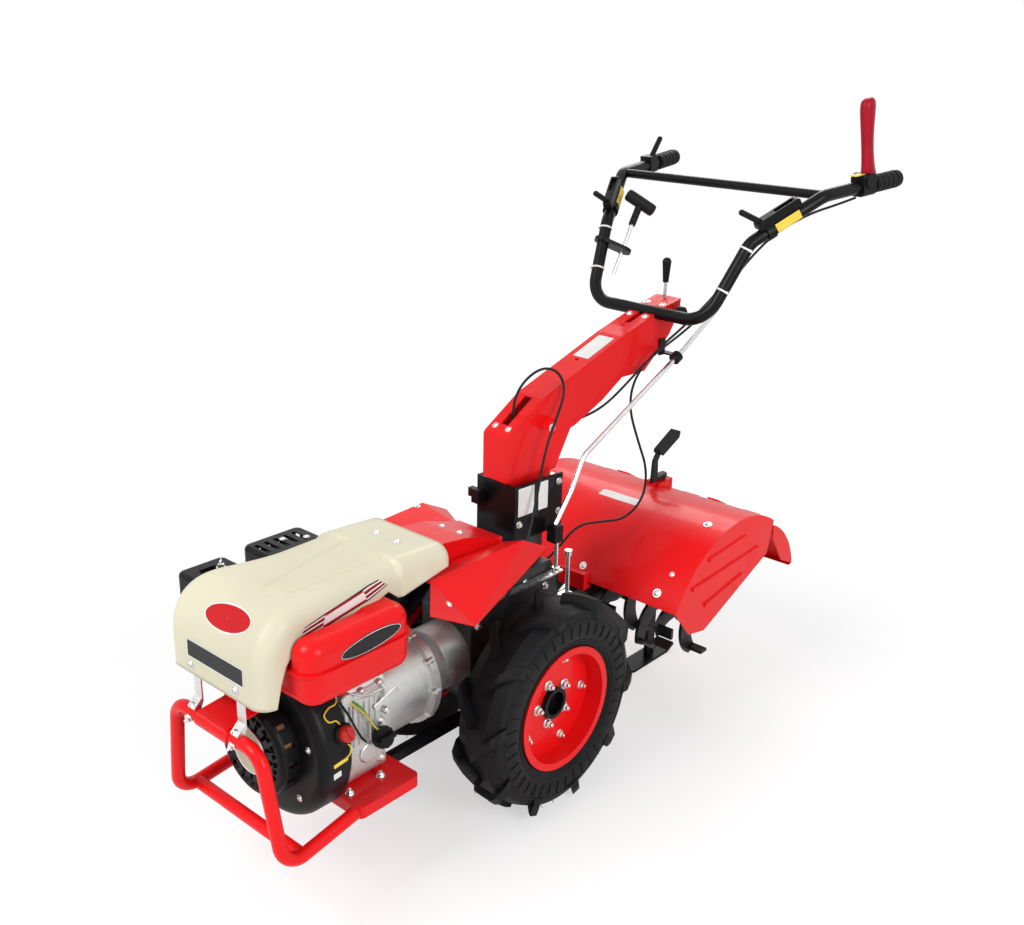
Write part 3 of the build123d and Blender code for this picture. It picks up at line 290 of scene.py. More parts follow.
# %% [markdown]
# Rubber and plastic are dull for different reasons. Rubber scatters light from a surface that is rough
# all over, and a tyre that has stood in a shop carries pale dust where nothing wipes it. Moulded plastic
# has an even grain that was etched into its mould. Film for labels has the same grain, but a coarser one.

# %% Rubber, plastics and films
DUST = (0.036, 0.035, 0.034, 1.0)
MOULD_GRAIN = 900.0
FILM_GRAIN = 300.0


def rubber(name, colour, roughness, dust):
    finish = Finish(name, colour, roughness, specular_ior_level=0.16)
    broad = finish.noise(9.0, 4.0, 0.6)
    finish.set("Base Color", finish.mix(dust * broad.ramp(0.5, 0.85), finish.colour, DUST))
    finish.set("Roughness", roughness + 0.16 * broad.ramp(0.35, 0.8))
    finish.bump(finish.noise(520.0, 2.0), 0.25, 0.0004)
    return finish


def moulded(name, colour, roughness, grain=MOULD_GRAIN):
    finish = Finish(name, colour, roughness, specular_ior_level=0.15)
    etched = finish.noise(grain, 1.0)
    worn = finish.noise(16.0, 3.0)
    finish.vary(worn.ramp(0.4, 0.7), 0.93, 1.06)
    finish.set("Roughness", roughness + 0.12 * etched.ramp(0.4, 0.7))
    finish.bump(etched, 0.22, 0.0003)
    return finish


tyre_rubber = rubber("tyre rubber", (0.005, 0.005, 0.006), 0.42, 0.18)
grip_rubber = rubber("grip rubber", (0.008, 0.008, 0.009), 0.50, 0.15)
cable_sheath = rubber("cable sheath", (0.012, 0.012, 0.013), 0.36, 0.05)
black_plastic = moulded("black plastic", (0.005, 0.005, 0.006), 0.34)
dark_red_plastic = moulded("dark red plastic", (0.360, 0.006, 0.020), 0.30)
yellow_tag = moulded("yellow tag", (0.800, 0.560, 0.070), 0.42)
moulded("cream disc", (0.520, 0.470, 0.340), 0.42)
wire_yellow = moulded("wire yellow", (0.700, 0.520, 0.040), 0.40)
wire_green = moulded("wire green", (0.050, 0.280, 0.070), 0.40)
wire_black = moulded("wire black", (0.012, 0.012, 0.013), 0.40)
label_white = moulded("label white", (0.780, 0.780, 0.760), 0.34, FILM_GRAIN)
sticker_red = moulded("sticker red", (0.560, 0.012, 0.016), 0.26, FILM_GRAIN)
sticker_dark = moulded("sticker dark", (0.020, 0.020, 0.022), 0.26, FILM_GRAIN)
print("finishes in all:", len(Finish.made))

# %% [markdown]
# Each solid came with a plain material in one slot, named for its finish. The mesh is never changed.
# Only the slot's material is swapped for the finish of the same name, and the solid's edges stay as
# they are, with the normals that the model was packed with. The starter's drum is black in the
# photograph, so it takes black plastic.

# %% Finishes onto the solids
dressed = {}
for name, node in nodes.items():
    for slot in node.material_slots:
        plain = slot.material.name.split(".")[0]
        slot.material = Finish.made[plain].material
        dressed.setdefault(plain, []).append(name)
nodes["recoil_starter"].material_slots[0].material = black_plastic.material
for plain, names in sorted(dressed.items()):
    print(plain, "on", len(names), "solids")

# %% [markdown]
# Small parts repeat: this tiller wears about a hundred bolts and screws, and each one is a washer and a
# head. A modifier stack per bolt would be slow to change, and a hundred objects would be tiresome to
# carry. So one collector gathers corners and faces of many turned, drawn and bevelled forms, and makes a
# single mesh of each group, which rides on one body. Its sizes are in millimetres, its places in metres.

# %% A collector for small forms
OCTANTS = list(product((-1, 1), repeat=3))


def tube_faces(rings, sides):
    """The faces between rings of corners, with a cap at each end."""
    faces = []
    for low in range(0, (rings - 1) * sides, sides):
        for step in range(sides):
            after = (step + 1) % sides
            faces.append((low + step, low + after, low + sides + after, low + sides + step))
    faces.append(tuple(reversed(range(sides))))
    faces.append(tuple(range((rings - 1) * sides, rings * sides)))
    return faces


def octant(axis, end, first, second):
    """The signs of one corner of a block: end along the axis, first and second along the other two."""
    signs = [first, second]
    signs.insert(axis, end)
    return tuple(signs)


class Gathered:
    """Gathers many small forms into one piece."""

    def __init__(self, name, finish):
        self.name = name
        self.finishes = [finish]
        self.corners = []
        self.faces = []
        self.zones = []

    def add(self, corners, faces, finish=None):
        finish = finish or self.finishes[0]
        if finish not in self.finishes:
            self.finishes.append(finish)
        first = len(self.corners)
        self.corners.extend(Vector(corner) for corner in corners)
        self.faces.extend([first + index for index in face] for face in faces)
        self.zones.extend([self.finishes.index(finish)] * len(faces))

    def turned(self, place, axis, profile, sides=16, finish=None):
        """A (radius, height) profile turned about an axis through the place."""
        along = Vector(axis).normalized()
        side = along.orthogonal().normalized()
        other = along.cross(side)
        corners = []
        for radius, height in profile:
            for angle in around(sides):
                out = side * math.cos(angle) + other * math.sin(angle)
                corners.append(Vector(place) + (along * height + out * radius) * MM)
        self.add(corners, tube_faces(len(profile), sides), finish)

    def drawn(self, points, radius, sides=8, finish=None):
        """A round wire through the points."""
        corners = []
        side = (points[1] - points[0]).orthogonal().normalized()
        for index, point in enumerate(points):
            ahead = points[min(index + 1, len(points) - 1)] - points[max(index - 1, 0)]
            along = ahead.normalized()
            side = (side - along * side.dot(along)).normalized()
            other = along.cross(side)
            for angle in around(sides):
                corners.append(point + (side * math.cos(angle) + other * math.sin(angle)) * radius * MM)
        self.add(corners, tube_faces(len(points), sides), finish)

    def bevelled(self, place, size, bevel, facing=FRONT, top=UP, finish=None):
        """A block with bevelled edges. Its first size lies along facing and its last along top."""
        front = Vector(facing).normalized()
        upper = (Vector(top) - front * Vector(top).dot(front)).normalized()
        directions = (front, upper.cross(front), upper)
        corners = []
        index_of = {}
        for signs, kept in product(OCTANTS, range(3)):
            spot = Vector(place)
            for axis, direction in enumerate(directions):
                reach = size[axis] / 2 - (0 if axis == kept else bevel)
                spot += direction * signs[axis] * reach * MM
            index_of[signs, kept] = len(corners)
            corners.append(spot)
        faces = [[index_of[signs, kept] for kept in range(3)] for signs in OCTANTS]
        for axis in range(3):
            one, two = [other for other in range(3) if other != axis]
            for end in (-1, 1):
                loop = ((-1, -1), (1, -1), (1, 1), (-1, 1))
                faces.append([index_of[octant(axis, end, *pair), axis] for pair in loop])
            for pair in product((-1, 1), repeat=2):
                low, high = octant(axis, -1, *pair), octant(axis, 1, *pair)
                faces.append([index_of[key] for key in ((low, one), (high, one), (high, two), (low, two))])
        self.add(corners, faces, finish)

    def bolt(self, place, axis, across, finish=None, shank=False):
        """A washer, a six-sided head and, where a stud passes through a nut, the stud's end."""
        half = across / 2
        washer = [(half * 1.5, -0.6), (half * 1.5, half * 0.26), (half * 1.38, half * 0.36)]
        head = [(half * 1.12, half * 0.3), (half * 1.12, half * 1.0), (half * 0.92, half * 1.2)]
        stud = [(half * 0.55, half), (half * 0.55, half * 1.9), (half * 0.42, half * 2.05)]
        self.turned(place, axis, washer, 18, finish)
        self.turned(place, axis, head, 6, finish)
        if shank:
            self.turned(place, axis, stud, 12, finish)

    def screw(self, place, axis, radius):
        """A washer and a domed head with a recess in its middle."""
        washer = [(radius * 1.5, -0.6), (radius * 1.5, 0.9), (radius * 1.42, 1.3)]
        dome = [(radius, 1.2), (radius * 0.97, radius * 0.4), (radius * 0.75, radius * 0.72)]
        recess = [(radius * 0.4, radius * 0.8), (radius * 0.32, radius * 0.45)]
        self.turned(place, axis, washer, 18)
        self.turned(place, axis, dome + recess, 16)

    def made(self, body, slot, sharp=32.0):
        mesh = bpy.data.meshes.new(self.name)
        mesh.from_pydata(self.corners, [], self.faces)
        for finish in self.finishes:
            mesh.materials.append(finish.material)
        for polygon, number in zip(mesh.polygons, self.zones):
            polygon.material_index = number
        mesh.validate()
        tidy = bmesh.new()
        tidy.from_mesh(mesh)
        bmesh.ops.recalc_face_normals(tidy, faces=tidy.faces)
        tidy.to_mesh(mesh)
        tidy.free()
        mesh.shade_smooth()
        mesh.set_sharp_from_angle(angle=math.radians(sharp))
        piece = placed(self.name, mesh)
        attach(piece, body)
        print(self.name, "has", len(mesh.polygons), "faces and rides on", body)
        return piece


# %% [markdown]
# A bolt must sit on the sheet that it holds, wherever that sheet curves. Rather than typing heights, a
# ray is sent at the solid from outside, and the piece is seated where the ray meets it, along the
# surface's own normal. The same rays lay a sticker: its outline is drawn flat, and each of its corners
# drops onto the panel and stops four tenths of a millimetre above it.

# %% Seats and stickers
STICKER_LIFT = 0.4
EDGE_STEP = 6.0


class Seat:
    """Finds where a ray meets one solid or piece."""

    def __init__(self, name):
        mesh = nodes[name].data if name in nodes else bpy.data.objects[name].data
        corners = [vertex.co.copy() for vertex in mesh.vertices]
        self.tree = BVHTree.FromPolygons(corners, [tuple(polygon.vertices) for polygon in mesh.polygons])

    def meet(self, point, facing, reach=80.0):
        """The place and normal where a ray, coming in against the facing direction, meets the solid."""
        out = Vector(facing).normalized()
        start = Vector(point) + out * reach * MM
        place, normal, index, distance = self.tree.ray_cast(start, -out, 2 * reach * MM)
        if place is None:
            return None, None
        return place, normal if normal.dot(out) > 0 else -normal

    def bolt(self, piece, point, facing, across, flat=0.0, shank=False, reach=80.0):
        """Seats a bolt, unless the ray misses or the surface turns too far from the facing direction."""
        place, normal = self.meet(point, facing, reach)
        if place is not None and normal.dot(Vector(facing)) > flat:
            piece.bolt(place, normal, across, shank=shank)

    def screw(self, piece, point, facing, radius, flat=0.0):
        place, normal = self.meet(point, facing)
        if place is not None and normal.dot(Vector(facing)) > flat:
            piece.screw(place, normal, radius)


def ellipse(width, height):
    return [(width / 2 * math.cos(angle), height / 2 * math.sin(angle)) for angle in around(56)]


def plate(width, height, corner):
    """A rectangle with rounded corners, with points along its sides too, so that it can follow a curve."""
    points = []
    for turn, (x, y) in enumerate(((1, 1), (-1, 1), (-1, -1), (1, -1))):
        for index in range(5):
            angle = math.pi / 2 * (turn + index / 4)
            centre = (x * (width / 2 - corner), y * (height / 2 - corner))
            points.append((centre[0] + corner * math.cos(angle), centre[1] + corner * math.sin(angle)))
    filled = []
    for index, point in enumerate(points):
        after = points[(index + 1) % len(points)]
        count = max(1, round(math.dist(point, after) / EDGE_STEP))
        filled.extend(tuple(a + (b - a) * k / count for a, b in zip(point, after)) for k in range(count))
    return filled


def sticker(piece, seat, centre, facing, upward, outline, bands):
    """Lays a sticker. Bands are (inset in millimetres, finish) pairs from its edge inwards."""
    out = Vector(facing).normalized()
    top = (Vector(upward) - out * Vector(upward).dot(out)).normalized()
    across = top.cross(out)
    width = max(abs(x) for x, y in outline)
    height = max(abs(y) for x, y in outline)
    shrinks = [((width - inset) / width, (height - inset) / height) for inset, finish in bands]
    inmost = shrinks[-1]
    shrinks.extend((inmost[0] * share, inmost[1] * share) for share in (0.75, 0.5, 0.25, 0.02))
    rings = []
    for wide, tall in shrinks:
        ring = []
        for x, y in outline:
            flat = Vector(centre) + (across * x * wide + top * y * tall) * MM
            place, normal = seat.meet(flat, out)
            ring.append((flat if place is None else place) + out * STICKER_LIFT * MM)
        rings.append(ring)
    count = len(outline)
    faces = [(k, (k + 1) % count, count + (k + 1) % count, count + k) for k in range(count)]
    for number, (outer, inner) in enumerate(zip(rings, rings[1:])):
        piece.add(outer + inner, faces, bands[min(number, len(bands) - 1)][1])


# %% [markdown]
# The hood is one deep-drawn sheet: a flat-topped shell with a broad rounded nose, rounded shoulders and a
# shallow pressed panel that widens into a full-width step at the rear. The solid hood has its planes and
# its openings. A subdivided cage would pinch where the ridges run out, so the skin is drawn as a grid: one
# way along the profile from the rear edge over the nose, the other way across it and down both sides.

# %% The hood's pressed skin
HOOD_HALF = 132.6
PRESS_DEPTH = 6.0
RIDGE_BAND = 5.0
NOSE_MIDDLE = Vector((594, 0, 576))
NOSE_RADIUS = 109.0
WALL_STEPS = 16


def eased(value, low, high):
    """0 before low, 1 after high, and an even S between them."""
    share = min(1.0, max(0.0, (value - low) / (high - low)))
    return share * share * (3 - 2 * share)


def between(value, *spots):
    """The height of a broken line at one place along it."""
    for (low, low_height), (high, high_height) in zip(spots, spots[1:]):
        if value <= high:
            return low_height + (high_height - low_height) * max(0.0, value - low) / (high - low)
    return spots[-1][1]


def hood_stations():
    """Along the hood's middle: each place, its outward direction and how deep the side wall is there."""
    level = [*range(249, 360, 10), *range(360, 382, 2), *range(382, 402, 4), *range(402, 594, 8)]
    for x in level:
        top = between(x, (249, 681), (372, 688), (594, 685))
        low = between(x, (249, 643), (378, 619), (403, 640), (449, 621), (565, 606), (594, 603))
        yield Vector((x, 0, top)), Vector(UP), top - low
    for degrees in range(90, -1, -3):
        out = Vector((math.cos(math.radians(degrees)), 0, math.sin(math.radians(degrees))))
        depth = between(degrees, (0, 53), (38, 72), (77, 81), (90, 82))
        yield NOSE_MIDDLE + out * NOSE_RADIUS, out, depth
    for drop in range(8, 74, 8):
        z = NOSE_MIDDLE.z - drop
        yield Vector((703 + drop / 73, 0, z)), Vector(FRONT), between(z, (503, 32), (545, 42), (576, 53))


def side_wall(place, out, depth, radius, side, half, sunk, raised):
    """One side from the flat top round the shoulder and down, in even steps."""
    turn = math.acos(1 - depth / radius) if depth < radius else math.pi / 2
    whole = radius * turn + max(0.0, depth - radius)
    spots = []
    for step in range(1, WALL_STEPS + 1):
        gone = whole * step / WALL_STEPS
        angle = min(gone / radius, turn)
        beside = Vector((0, side * (half - radius + radius * math.sin(angle)), 0))
        down = radius * (1 - math.cos(angle)) + max(0.0, gone - radius * turn)
        facing = out * math.cos(angle) + Vector((0, side, 0)) * math.sin(angle)
        spots.append(place - out * (down + sunk) + beside + facing * PRESS_DEPTH * raised)
    return spots


def hood_row(place, out, depth):
    """One line of the grid, from the far lower edge over the top to the near one."""
    stepped = 1 - eased(place.x, 368, 380)
    nose = eased(place.x, 600, 690)
    half = HOOD_HALF + PRESS_DEPTH * nose
    sunk = PRESS_DEPTH * (1 - nose)
    far_radius = 84 - 66 * eased(place.x, 470, 720)
    near_radius = 24 + 10 * eased(place.x, 368, 380)
    far_ridge = between(place.x, (386, -14), (616, 35))
    near_ridge = between(place.x, (390, 91), (600, 82))
    ridges = [ridge + side * RIDGE_BAND for ridge, side in product((far_ridge, near_ridge), (-1, 1))]
    stops = (far_radius - half, *ridges, half - near_radius)
    row = side_wall(place, out, depth, far_radius, -1, half, sunk, stepped)[::-1]
    across = []
    for low, high, parts in zip(stops, stops[1:], (6, 5, 10, 5, 3)):
        across.extend(low + (high - low) * part / parts for part in range(parts))
    for y in across + [stops[-1]]:
        inside = eased(y, *ridges[:2]) * (1 - eased(y, *ridges[2:])) * (1 - eased(place.x, 604, 618))
        row.append(place + Vector((0, y, 0)) - out * sunk * (1 - max(inside, stepped)))
    return row + side_wall(place, out, depth, near_radius, 1, half, sunk, stepped)


rows = [hood_row(*station) for station in hood_stations()]
count = len(rows[0])
firsts = [k for k in range(count * (len(rows) - 1)) if k % count < count - 1]
hood_mesh = bpy.data.meshes.new("hood_skin")
hood_mesh.from_pydata(
    [spot * MM for row in rows for spot in row], [], [(k, k + count, k + 1 + count, k + 1) for k in firsts]
)
hood_mesh.materials.append(cream_paint.material)
hood_mesh.shade_smooth()
hood_skin = placed("hood_skin", hood_mesh)
sheet = hood_skin.modifiers.new("sheet", "SOLIDIFY")
sheet.thickness = 0.003
sheet.offset = -1.0
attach(hood_skin, "chassis")
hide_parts("hood")
print("hood skin:", len(hood_mesh.polygons), "faces")

# %% [markdown]
# The clutch lever is a moulded grip on a steel arm: broad at the top, slim at the waist and flared where
# it wraps the housing's pivot. Rings of ellipses along a slightly bowed line give that form. The pull
# handle's bar wears a thick rubber sleeve. Both are drawn straight ahead and turned with the handlebars,
# which are parked a few degrees aside.

# %% Clutch lever and pull handle
PIVOT, PARKED = mm(-120, 0, 0), math.radians(-3.4)
parked_turn = Matrix.Translation(PIVOT) @ Matrix.Rotation(PARKED, 4, "Z") @ Matrix.Translation(-PIVOT)


def swung(x, y, z):
    """A place on the handlebars, drawn straight ahead, where it is when parked."""
    return parked_turn @ mm(x, y, z)


def swung_direction(x, y, z):
    return parked_turn.to_3x3() @ Vector((x, y, z))


foot, tip = Vector((-952, 318, 1322)), Vector((-905, 318, 1506))
wide_way = Vector(LEFT).cross((tip - foot).normalized())
grip_profile = (
    (-0.04, 22, 13), (0.0, 27, 14), (0.05, 27, 14.5), (0.12, 23, 14), (0.2, 19, 13.5), (0.35, 17, 13),
    (0.5, 17, 13.5), (0.65, 18.5, 14.5), (0.8, 21, 16), (0.9, 22.5, 16.5), (0.95, 21, 15.5), (0.985, 16, 12),
    (1.0, 8, 6),
)
GRIP_BOW, GRIP_SIDES = 5.0, 28
corners = []
for share, wide, thick in grip_profile:
    middle = foot.lerp(tip, share) + wide_way * (GRIP_BOW * math.sin(math.pi * share))
    for angle in around(GRIP_SIDES):
        spot = middle + wide_way * wide * math.cos(angle) + Vector(LEFT) * thick * math.sin(angle)
        corners.append(swung(*spot))
lever = Gathered("clutch_lever_grip", dark_red_plastic)
lever.add(corners, tube_faces(len(grip_profile), GRIP_SIDES))
lever_piece = lever.made("handlebars", "dark red plastic", 50.0)
smooth = lever_piece.modifiers.new("smooth", "SUBSURF")
smooth.levels = 1
smooth.render_levels = 1
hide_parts("clutch_lever")
print("the handlebars are parked", round(math.degrees(PARKED), 1), "degrees aside")

handle_rubber = Gathered("pull_handle_rubber", grip_rubber)
bar_start, bar_end = swung(-696, -201, 1253), swung(-740, -153, 1213)
bar = bar_end - bar_start
reach = bar.length / MM
sleeve_profile = [(9, -3), (14, -1), (15.6, 4), (15.6, reach - 4), (14, reach + 1), (9, reach + 3)]
handle_rubber.turned(bar_start, bar, sleeve_profile, 28)
handle_rubber.made("handlebars", "grip rubber")

# %% [markdown]
# The hood carries an oval badge on its brow, a narrow plate across its face and a striped strip that
# follows its lower edge. All three are bare here: the oval is plain red with its pale rim, the plate is
# plain dark, and the strip keeps only its stripes. The tank has a long oval, bare too. They are sheets
# of quads laid on the panel and not flat cards, because a card would stand off the curve.

# %% Badges and stripes
STRIP_COLUMNS, STRIP_ROWS, STRIPED_COLUMNS = 38, 9, 10
hood_seat = Seat("hood_skin")
shroud_seat = Seat("fan_shroud")
hood_badges = Gathered("hood_badges", label_white)
oval_facing, oval_top = (0.81, 0, 0.58), (-0.58, -0.10, 0.81)
oval_bands = [(0, label_white), (3.2, sticker_red)]
sticker(hood_badges, hood_seat, mm(684, 18, 645), oval_facing, oval_top, ellipse(126, 54), oval_bands)
plate_bands = [(0, label_white), (1.6, sticker_dark)]
sticker(hood_badges, hood_seat, mm(702, 2, 557), (1, 0, 0.04), UP, plate(170, 36, 2.0), plate_bands)


def along(line, share):
    """The place a share of the way along a broken line, counted by its spots' x."""
    x = line[0][0] + (line[-1][0] - line[0][0]) * share
    return x, between(-x, *((-a, b) for a, b in line))


def strip_finish(column, row):
    """Dark borders all along, stripes at the two ends and a pale bare middle."""
    if row in (0, STRIP_ROWS - 1):
        return sticker_dark
    if column < STRIPED_COLUMNS or column > STRIP_COLUMNS - STRIPED_COLUMNS:
        return (sticker_red, label_white, sticker_dark)[row % 3]
    return label_white if 1 < row < STRIP_ROWS - 2 else sticker_red


def side_strip(side):
    """The strip along the hood's lower edge, on one side."""
    low_line = ((617, 612), (567, 617), (450, 635), (405, 650))
    high_line = ((600, 636), (560, 645), (450, 664), (424, 666))
    grid = []
    for column in range(STRIP_COLUMNS + 1):
        low = along(low_line, column / STRIP_COLUMNS)
        high = along(high_line, column / STRIP_COLUMNS)
        line = []
        for row in range(STRIP_ROWS + 1):
            x, z = [a + (b - a) * row / STRIP_ROWS for a, b in zip(low, high)]
            place, normal = hood_seat.meet(mm(x, side * 138, z), (0, side, 0.12))
            place = place or mm(x, side * 137.6, z)
            line.append(place + Vector((0, side * 0.4, 0.1)) * MM)
        grid.append(line)
    for column, row in product(range(STRIP_COLUMNS), range(STRIP_ROWS)):
        near, far = grid[column], grid[column + 1]
        corners = [near[row], far[row], far[row + 1], near[row + 1]]
        hood_badges.add(corners, [(0, 1, 2, 3)], strip_finish(column, row))


side_strip(1)
side_strip(-1)
hood_badges.made("chassis", "cream paint")

tank_badge = Gathered("tank_badge", sticker_dark)
tank_bands = [(0, sticker_dark), (1.6, label_white), (2.8, sticker_dark)]
sticker(tank_badge, Seat("fuel_tank"), mm(497, 190, 589), LEFT, (0.06, 0, 1), ellipse(146, 36), tank_bands)
tank_badge.made("chassis", "red paint")

# %% [markdown]
# Labels on a machine are pale rectangles of film. Here they are blank, in their real places: one on the
# handlebar column, two on the turntable's side, two on the blower housing and one on the tiller's hood.
# The column is turned by a few degrees with the handlebars, so its label is turned with it.

# %% Blank labels
column_seat = Seat("handlebar_column")
bracket_seat = Seat("turntable_bracket")
tiller_seat = Seat("tiller_hood")
column_label = (swung(-352, 2, 952), swung_direction(0.35, 0, 0.94), swung_direction(-0.94, 0, 0.35))
bracket_facing = swung_direction(*LEFT)
handle_labels = (
    (column_seat, *column_label, (46, 96, 3.0), 1.2, label_white),
    (bracket_seat, swung(-80, 60, 659), bracket_facing, UP, (50, 66, 2.0), 1.0, label_white),
    (bracket_seat, swung(-134, 60, 659), bracket_facing, UP, (30, 66, 2.0), 1.0, label_white),
)
chassis_labels = (
    (tiller_seat, mm(-533, -16, 520), (0.19, 0, 0.98), (0.98, 0, -0.19), (118, 27, 2.0), 1.4, label_white),
    (shroud_seat, mm(553, 158, 346), LEFT, (0.12, 0, 1), (34, 8, 1.0), 0.5, yellow_tag),
    (shroud_seat, mm(561, 158, 322), (0, 1, -0.17), (0.12, 0, 1), (18, 14, 1.0), 0.5, label_white),
)
for name, body, labels in (
    ("handlebar_labels", "handlebars", handle_labels),
    ("chassis_labels", "chassis", chassis_labels),
):
    films = Gathered(name, label_white)
    for seat, centre, facing, upward, size, border, finish in labels:
        sticker(films, seat, centre, facing, upward, plate(*size), [(0, finish), (border, finish)])
    films.made(body, "red paint")

# %% [markdown]
# Zinc-plated bolts are the machine's small highlights. The lists below give each a place near the sheet
# and the side that it is seen from, and a ray finds the seat. Only the bolts on the frame's flat parts
# have typed heights. Heads on thin sheet are pan screws, and those in castings and frames are six-sided.
# A bolt is left out where its ray finds no seat, or where the seat turns too far away.

# %% Bolts of the chassis
CRANKSHAFT_HEIGHT = 343


def round_crankshaft(x, radius, angle):
    """A place on a circle round the crankshaft's line."""
    return mm(x, radius * math.cos(angle), CRANKSHAFT_HEIGHT + radius * math.sin(angle))


chassis_bolts = Gathered("chassis_bolts", zinc_plate)
panel_screws = (
    (hood_seat, (1, 0, 0.04), 7.0, ((703, -75, 524), (703, 61, 525))),
    (hood_seat, UP, 6.5, ((312, 0, 688), (312, 58, 688))),
    (Seat("mid_cover"), UP, 5.5, ((101, 26, 630), (101, -26, 630))),
    (Seat("muffler"), UP, 5.0, ((372, -226, 622), (330, -200, 622))),
    (tiller_seat, (0.19, 0, 0.98), 7.5, ((-535, 247, 519), (-535, -247, 519))),
    (tiller_seat, (0.83, 0, 0.56), 7.5, ((-352, 235, 396), (-352, -235, 396))),
    (tiller_seat, (0.83, 0, 0.56), 6.5, ((-350, 14, 397),)),
    (tiller_seat, (0.76, 0, 0.65), 4.5, ((-388, 250, 437),)),
    (Seat("fender_left"), (0, 0.3, 1), 5.0, ((300, 196, 610),)),
    (Seat("fender_right"), (0, -0.3, 1), 5.0, ((60, -150, 640),)),
)
for seat, facing, radius, points in panel_screws:
    for point in points:
        seat.screw(chassis_bolts, mm(*point), facing, radius)
for x, y in product((425, 505), (-124, 124)):
    chassis_bolts.bolt(mm(x, y, 234.2), UP, 13.0, shank=True)
for y in (-66, 66):
    chassis_bolts.bolt(mm(709, y, 441.6), UP, 12.0)
    chassis_bolts.bolt(mm(719.6, y - 2, 420), (1, 0, -0.35), 12.0, shank=True)
bell_seat = Seat("bell_housing")
for angle in around(8, 0.5):
    bell_seat.bolt(chassis_bolts, round_crankshaft(238, 92, angle), (-1, 0, 0), 11.0, 0.5)
gearbox_seat = Seat("gearbox")
for x, z in ((96, 290), (96, 420), (30, 470), (-60, 470), (-130, 440), (-160, 340), (-120, 250), (60, 240)):
    for side in (-1, 1):
        gearbox_seat.bolt(chassis_bolts, mm(x, side * 74, z), (0, side, 0), 12.0, 0.9)
for angle in around(6, 0.25):
    shroud_seat.screw(chassis_bolts, round_crankshaft(597, 124, angle), FRONT, 5.0, 0.7)
chassis_bolts.made("chassis", "zinc plate")

# %% [markdown]
# On the handlebars the bolts hold the column to its turntable and the tube to its clamp. On each wheel
# five nuts ring the hub, and five slightly smaller ones stand further out, as where a rim is pressed in
# two halves. They turn with the wheel, so each wheel has a piece of its own.

# %% Bolts of the handlebars and wheels
AXLE_HEIGHT = 250
SIDES = ((1, "left"), (-1, "right"))


def round_axle(radius, y, angle):
    """A place on a circle round the wheels' axle."""
    return mm(radius * math.cos(angle), y, AXLE_HEIGHT + radius * math.sin(angle))


handle_bolts = Gathered("handlebar_bolts", zinc_plate)
for (x, y, z), (front, out, up), radius in (
    ((-573, 24, 1026), (0.3, 0, 0.95), 6.0),
    ((-508, 24, 1006), (0.3, 0, 0.95), 6.0),
    ((-62, 20, 815), (0.5, 0, 0.85), 5.0),
    ((-181, 37, 801), LEFT, 6.5),
):
    for side in (1, -1):
        facing = swung_direction(front, side * out, up)
        column_seat.screw(handle_bolts, swung(x, side * y, z), facing, radius)
for x, z in ((-58, 608), (-184, 608), (-184, 680)):
    for side in (-1, 1):
        bracket_seat.bolt(handle_bolts, swung(x, side * 60, z), swung_direction(0, side, 0), 11.0)
handle_bolts.made("handlebars", "zinc plate")

for side, name in SIDES:
    wheel_bolts = Gathered(f"wheel_{name}_bolts", zinc_plate)
    rim_seat = Seat(f"wheel_{name}_rim")
    outward = (0, side, 0)
    for inner, outer in zip(around(5), around(5, 0.5)):
        wheel_bolts.bolt(round_axle(49, side * 211, inner), outward, 17.0, shank=True)
        rim_seat.bolt(wheel_bolts, round_axle(101, side * 211, outer), outward, 15.0, shank=True, reach=30.0)
    wheel_bolts.made(f"wheel_{name}", "zinc plate")

# %% [markdown]
# A farm tyre fresh from its mould still wears fine rubber hairs where the mould's vents were, and its
# sidewall has low rings and short ribs near the shoulder. The hairs are thin tapered pins at the tips of
# the lugs, with a seeded scatter so that no two stand alike. A hair whose tip would stand more than
# 8.5 mm past the lugs' own circle is left out.

# %% Hairs, rings and ribs of the tyres
OUTSIDE = 262
TREAD_MIDDLE, LUG_MIDDLE = 197, 50
LUG_FOOT, HAIR_LIMIT = 240, 258.5
axle_middle = mm(0, 0, AXLE_HEIGHT)
chance = random.Random(11)
for side, name in SIDES:
    trim = Gathered(f"wheel_{name}_tyre_trim", tyre_rubber)
    seat = Seat(f"wheel_{name}_tyre")
    outward = Vector((0, side, 0))
    for radius in (152.0, 159.0, 205.0):
        ring = []
        for angle in around(72):
            point = round_axle(radius, side * OUTSIDE, angle)
            place, normal = seat.meet(point, outward, 60.0)
            ring.append(point if place is None else place)
        trim.drawn(ring + ring[:1], 1.5, 6)
    for angle in around(40):
        points = []
        for radius in (171.0, 180.0, 190.0, 199.0):
            place, normal = seat.meet(round_axle(radius, side * OUTSIDE, angle), outward, 60.0)
            if place is not None:
                points.append(place + outward * 0.6 * MM)
        if len(points) > 1:
            trim.drawn(points, 1.8, 6)
    for even in around(40):
        angle = even + chance.uniform(-0.04, 0.04)
        out = Vector((math.cos(angle), 0, math.sin(angle)))
        across = chance.choice((-1, 1))
        beside = mm(0, side * TREAD_MIDDLE + across * LUG_MIDDLE, 0)
        place, normal = seat.meet(axle_middle + beside + out * LUG_FOOT * MM, out, 40.0)
        if place is None:
            continue
        lean = (out + Vector((0, across * chance.uniform(0.5, 1.6), 0))).normalized()
        reach = chance.uniform(4.0, 9.0)
        tip = place + lean * reach * MM
        if math.hypot(tip.x, tip.z - axle_middle.z) < HAIR_LIMIT * MM:
            trim.turned(place, lean, [(0.9, -1.0), (0.7, reach * 0.6), (0.3, reach)], 5)
    trim.made(f"wheel_{name}", "tyre rubber")

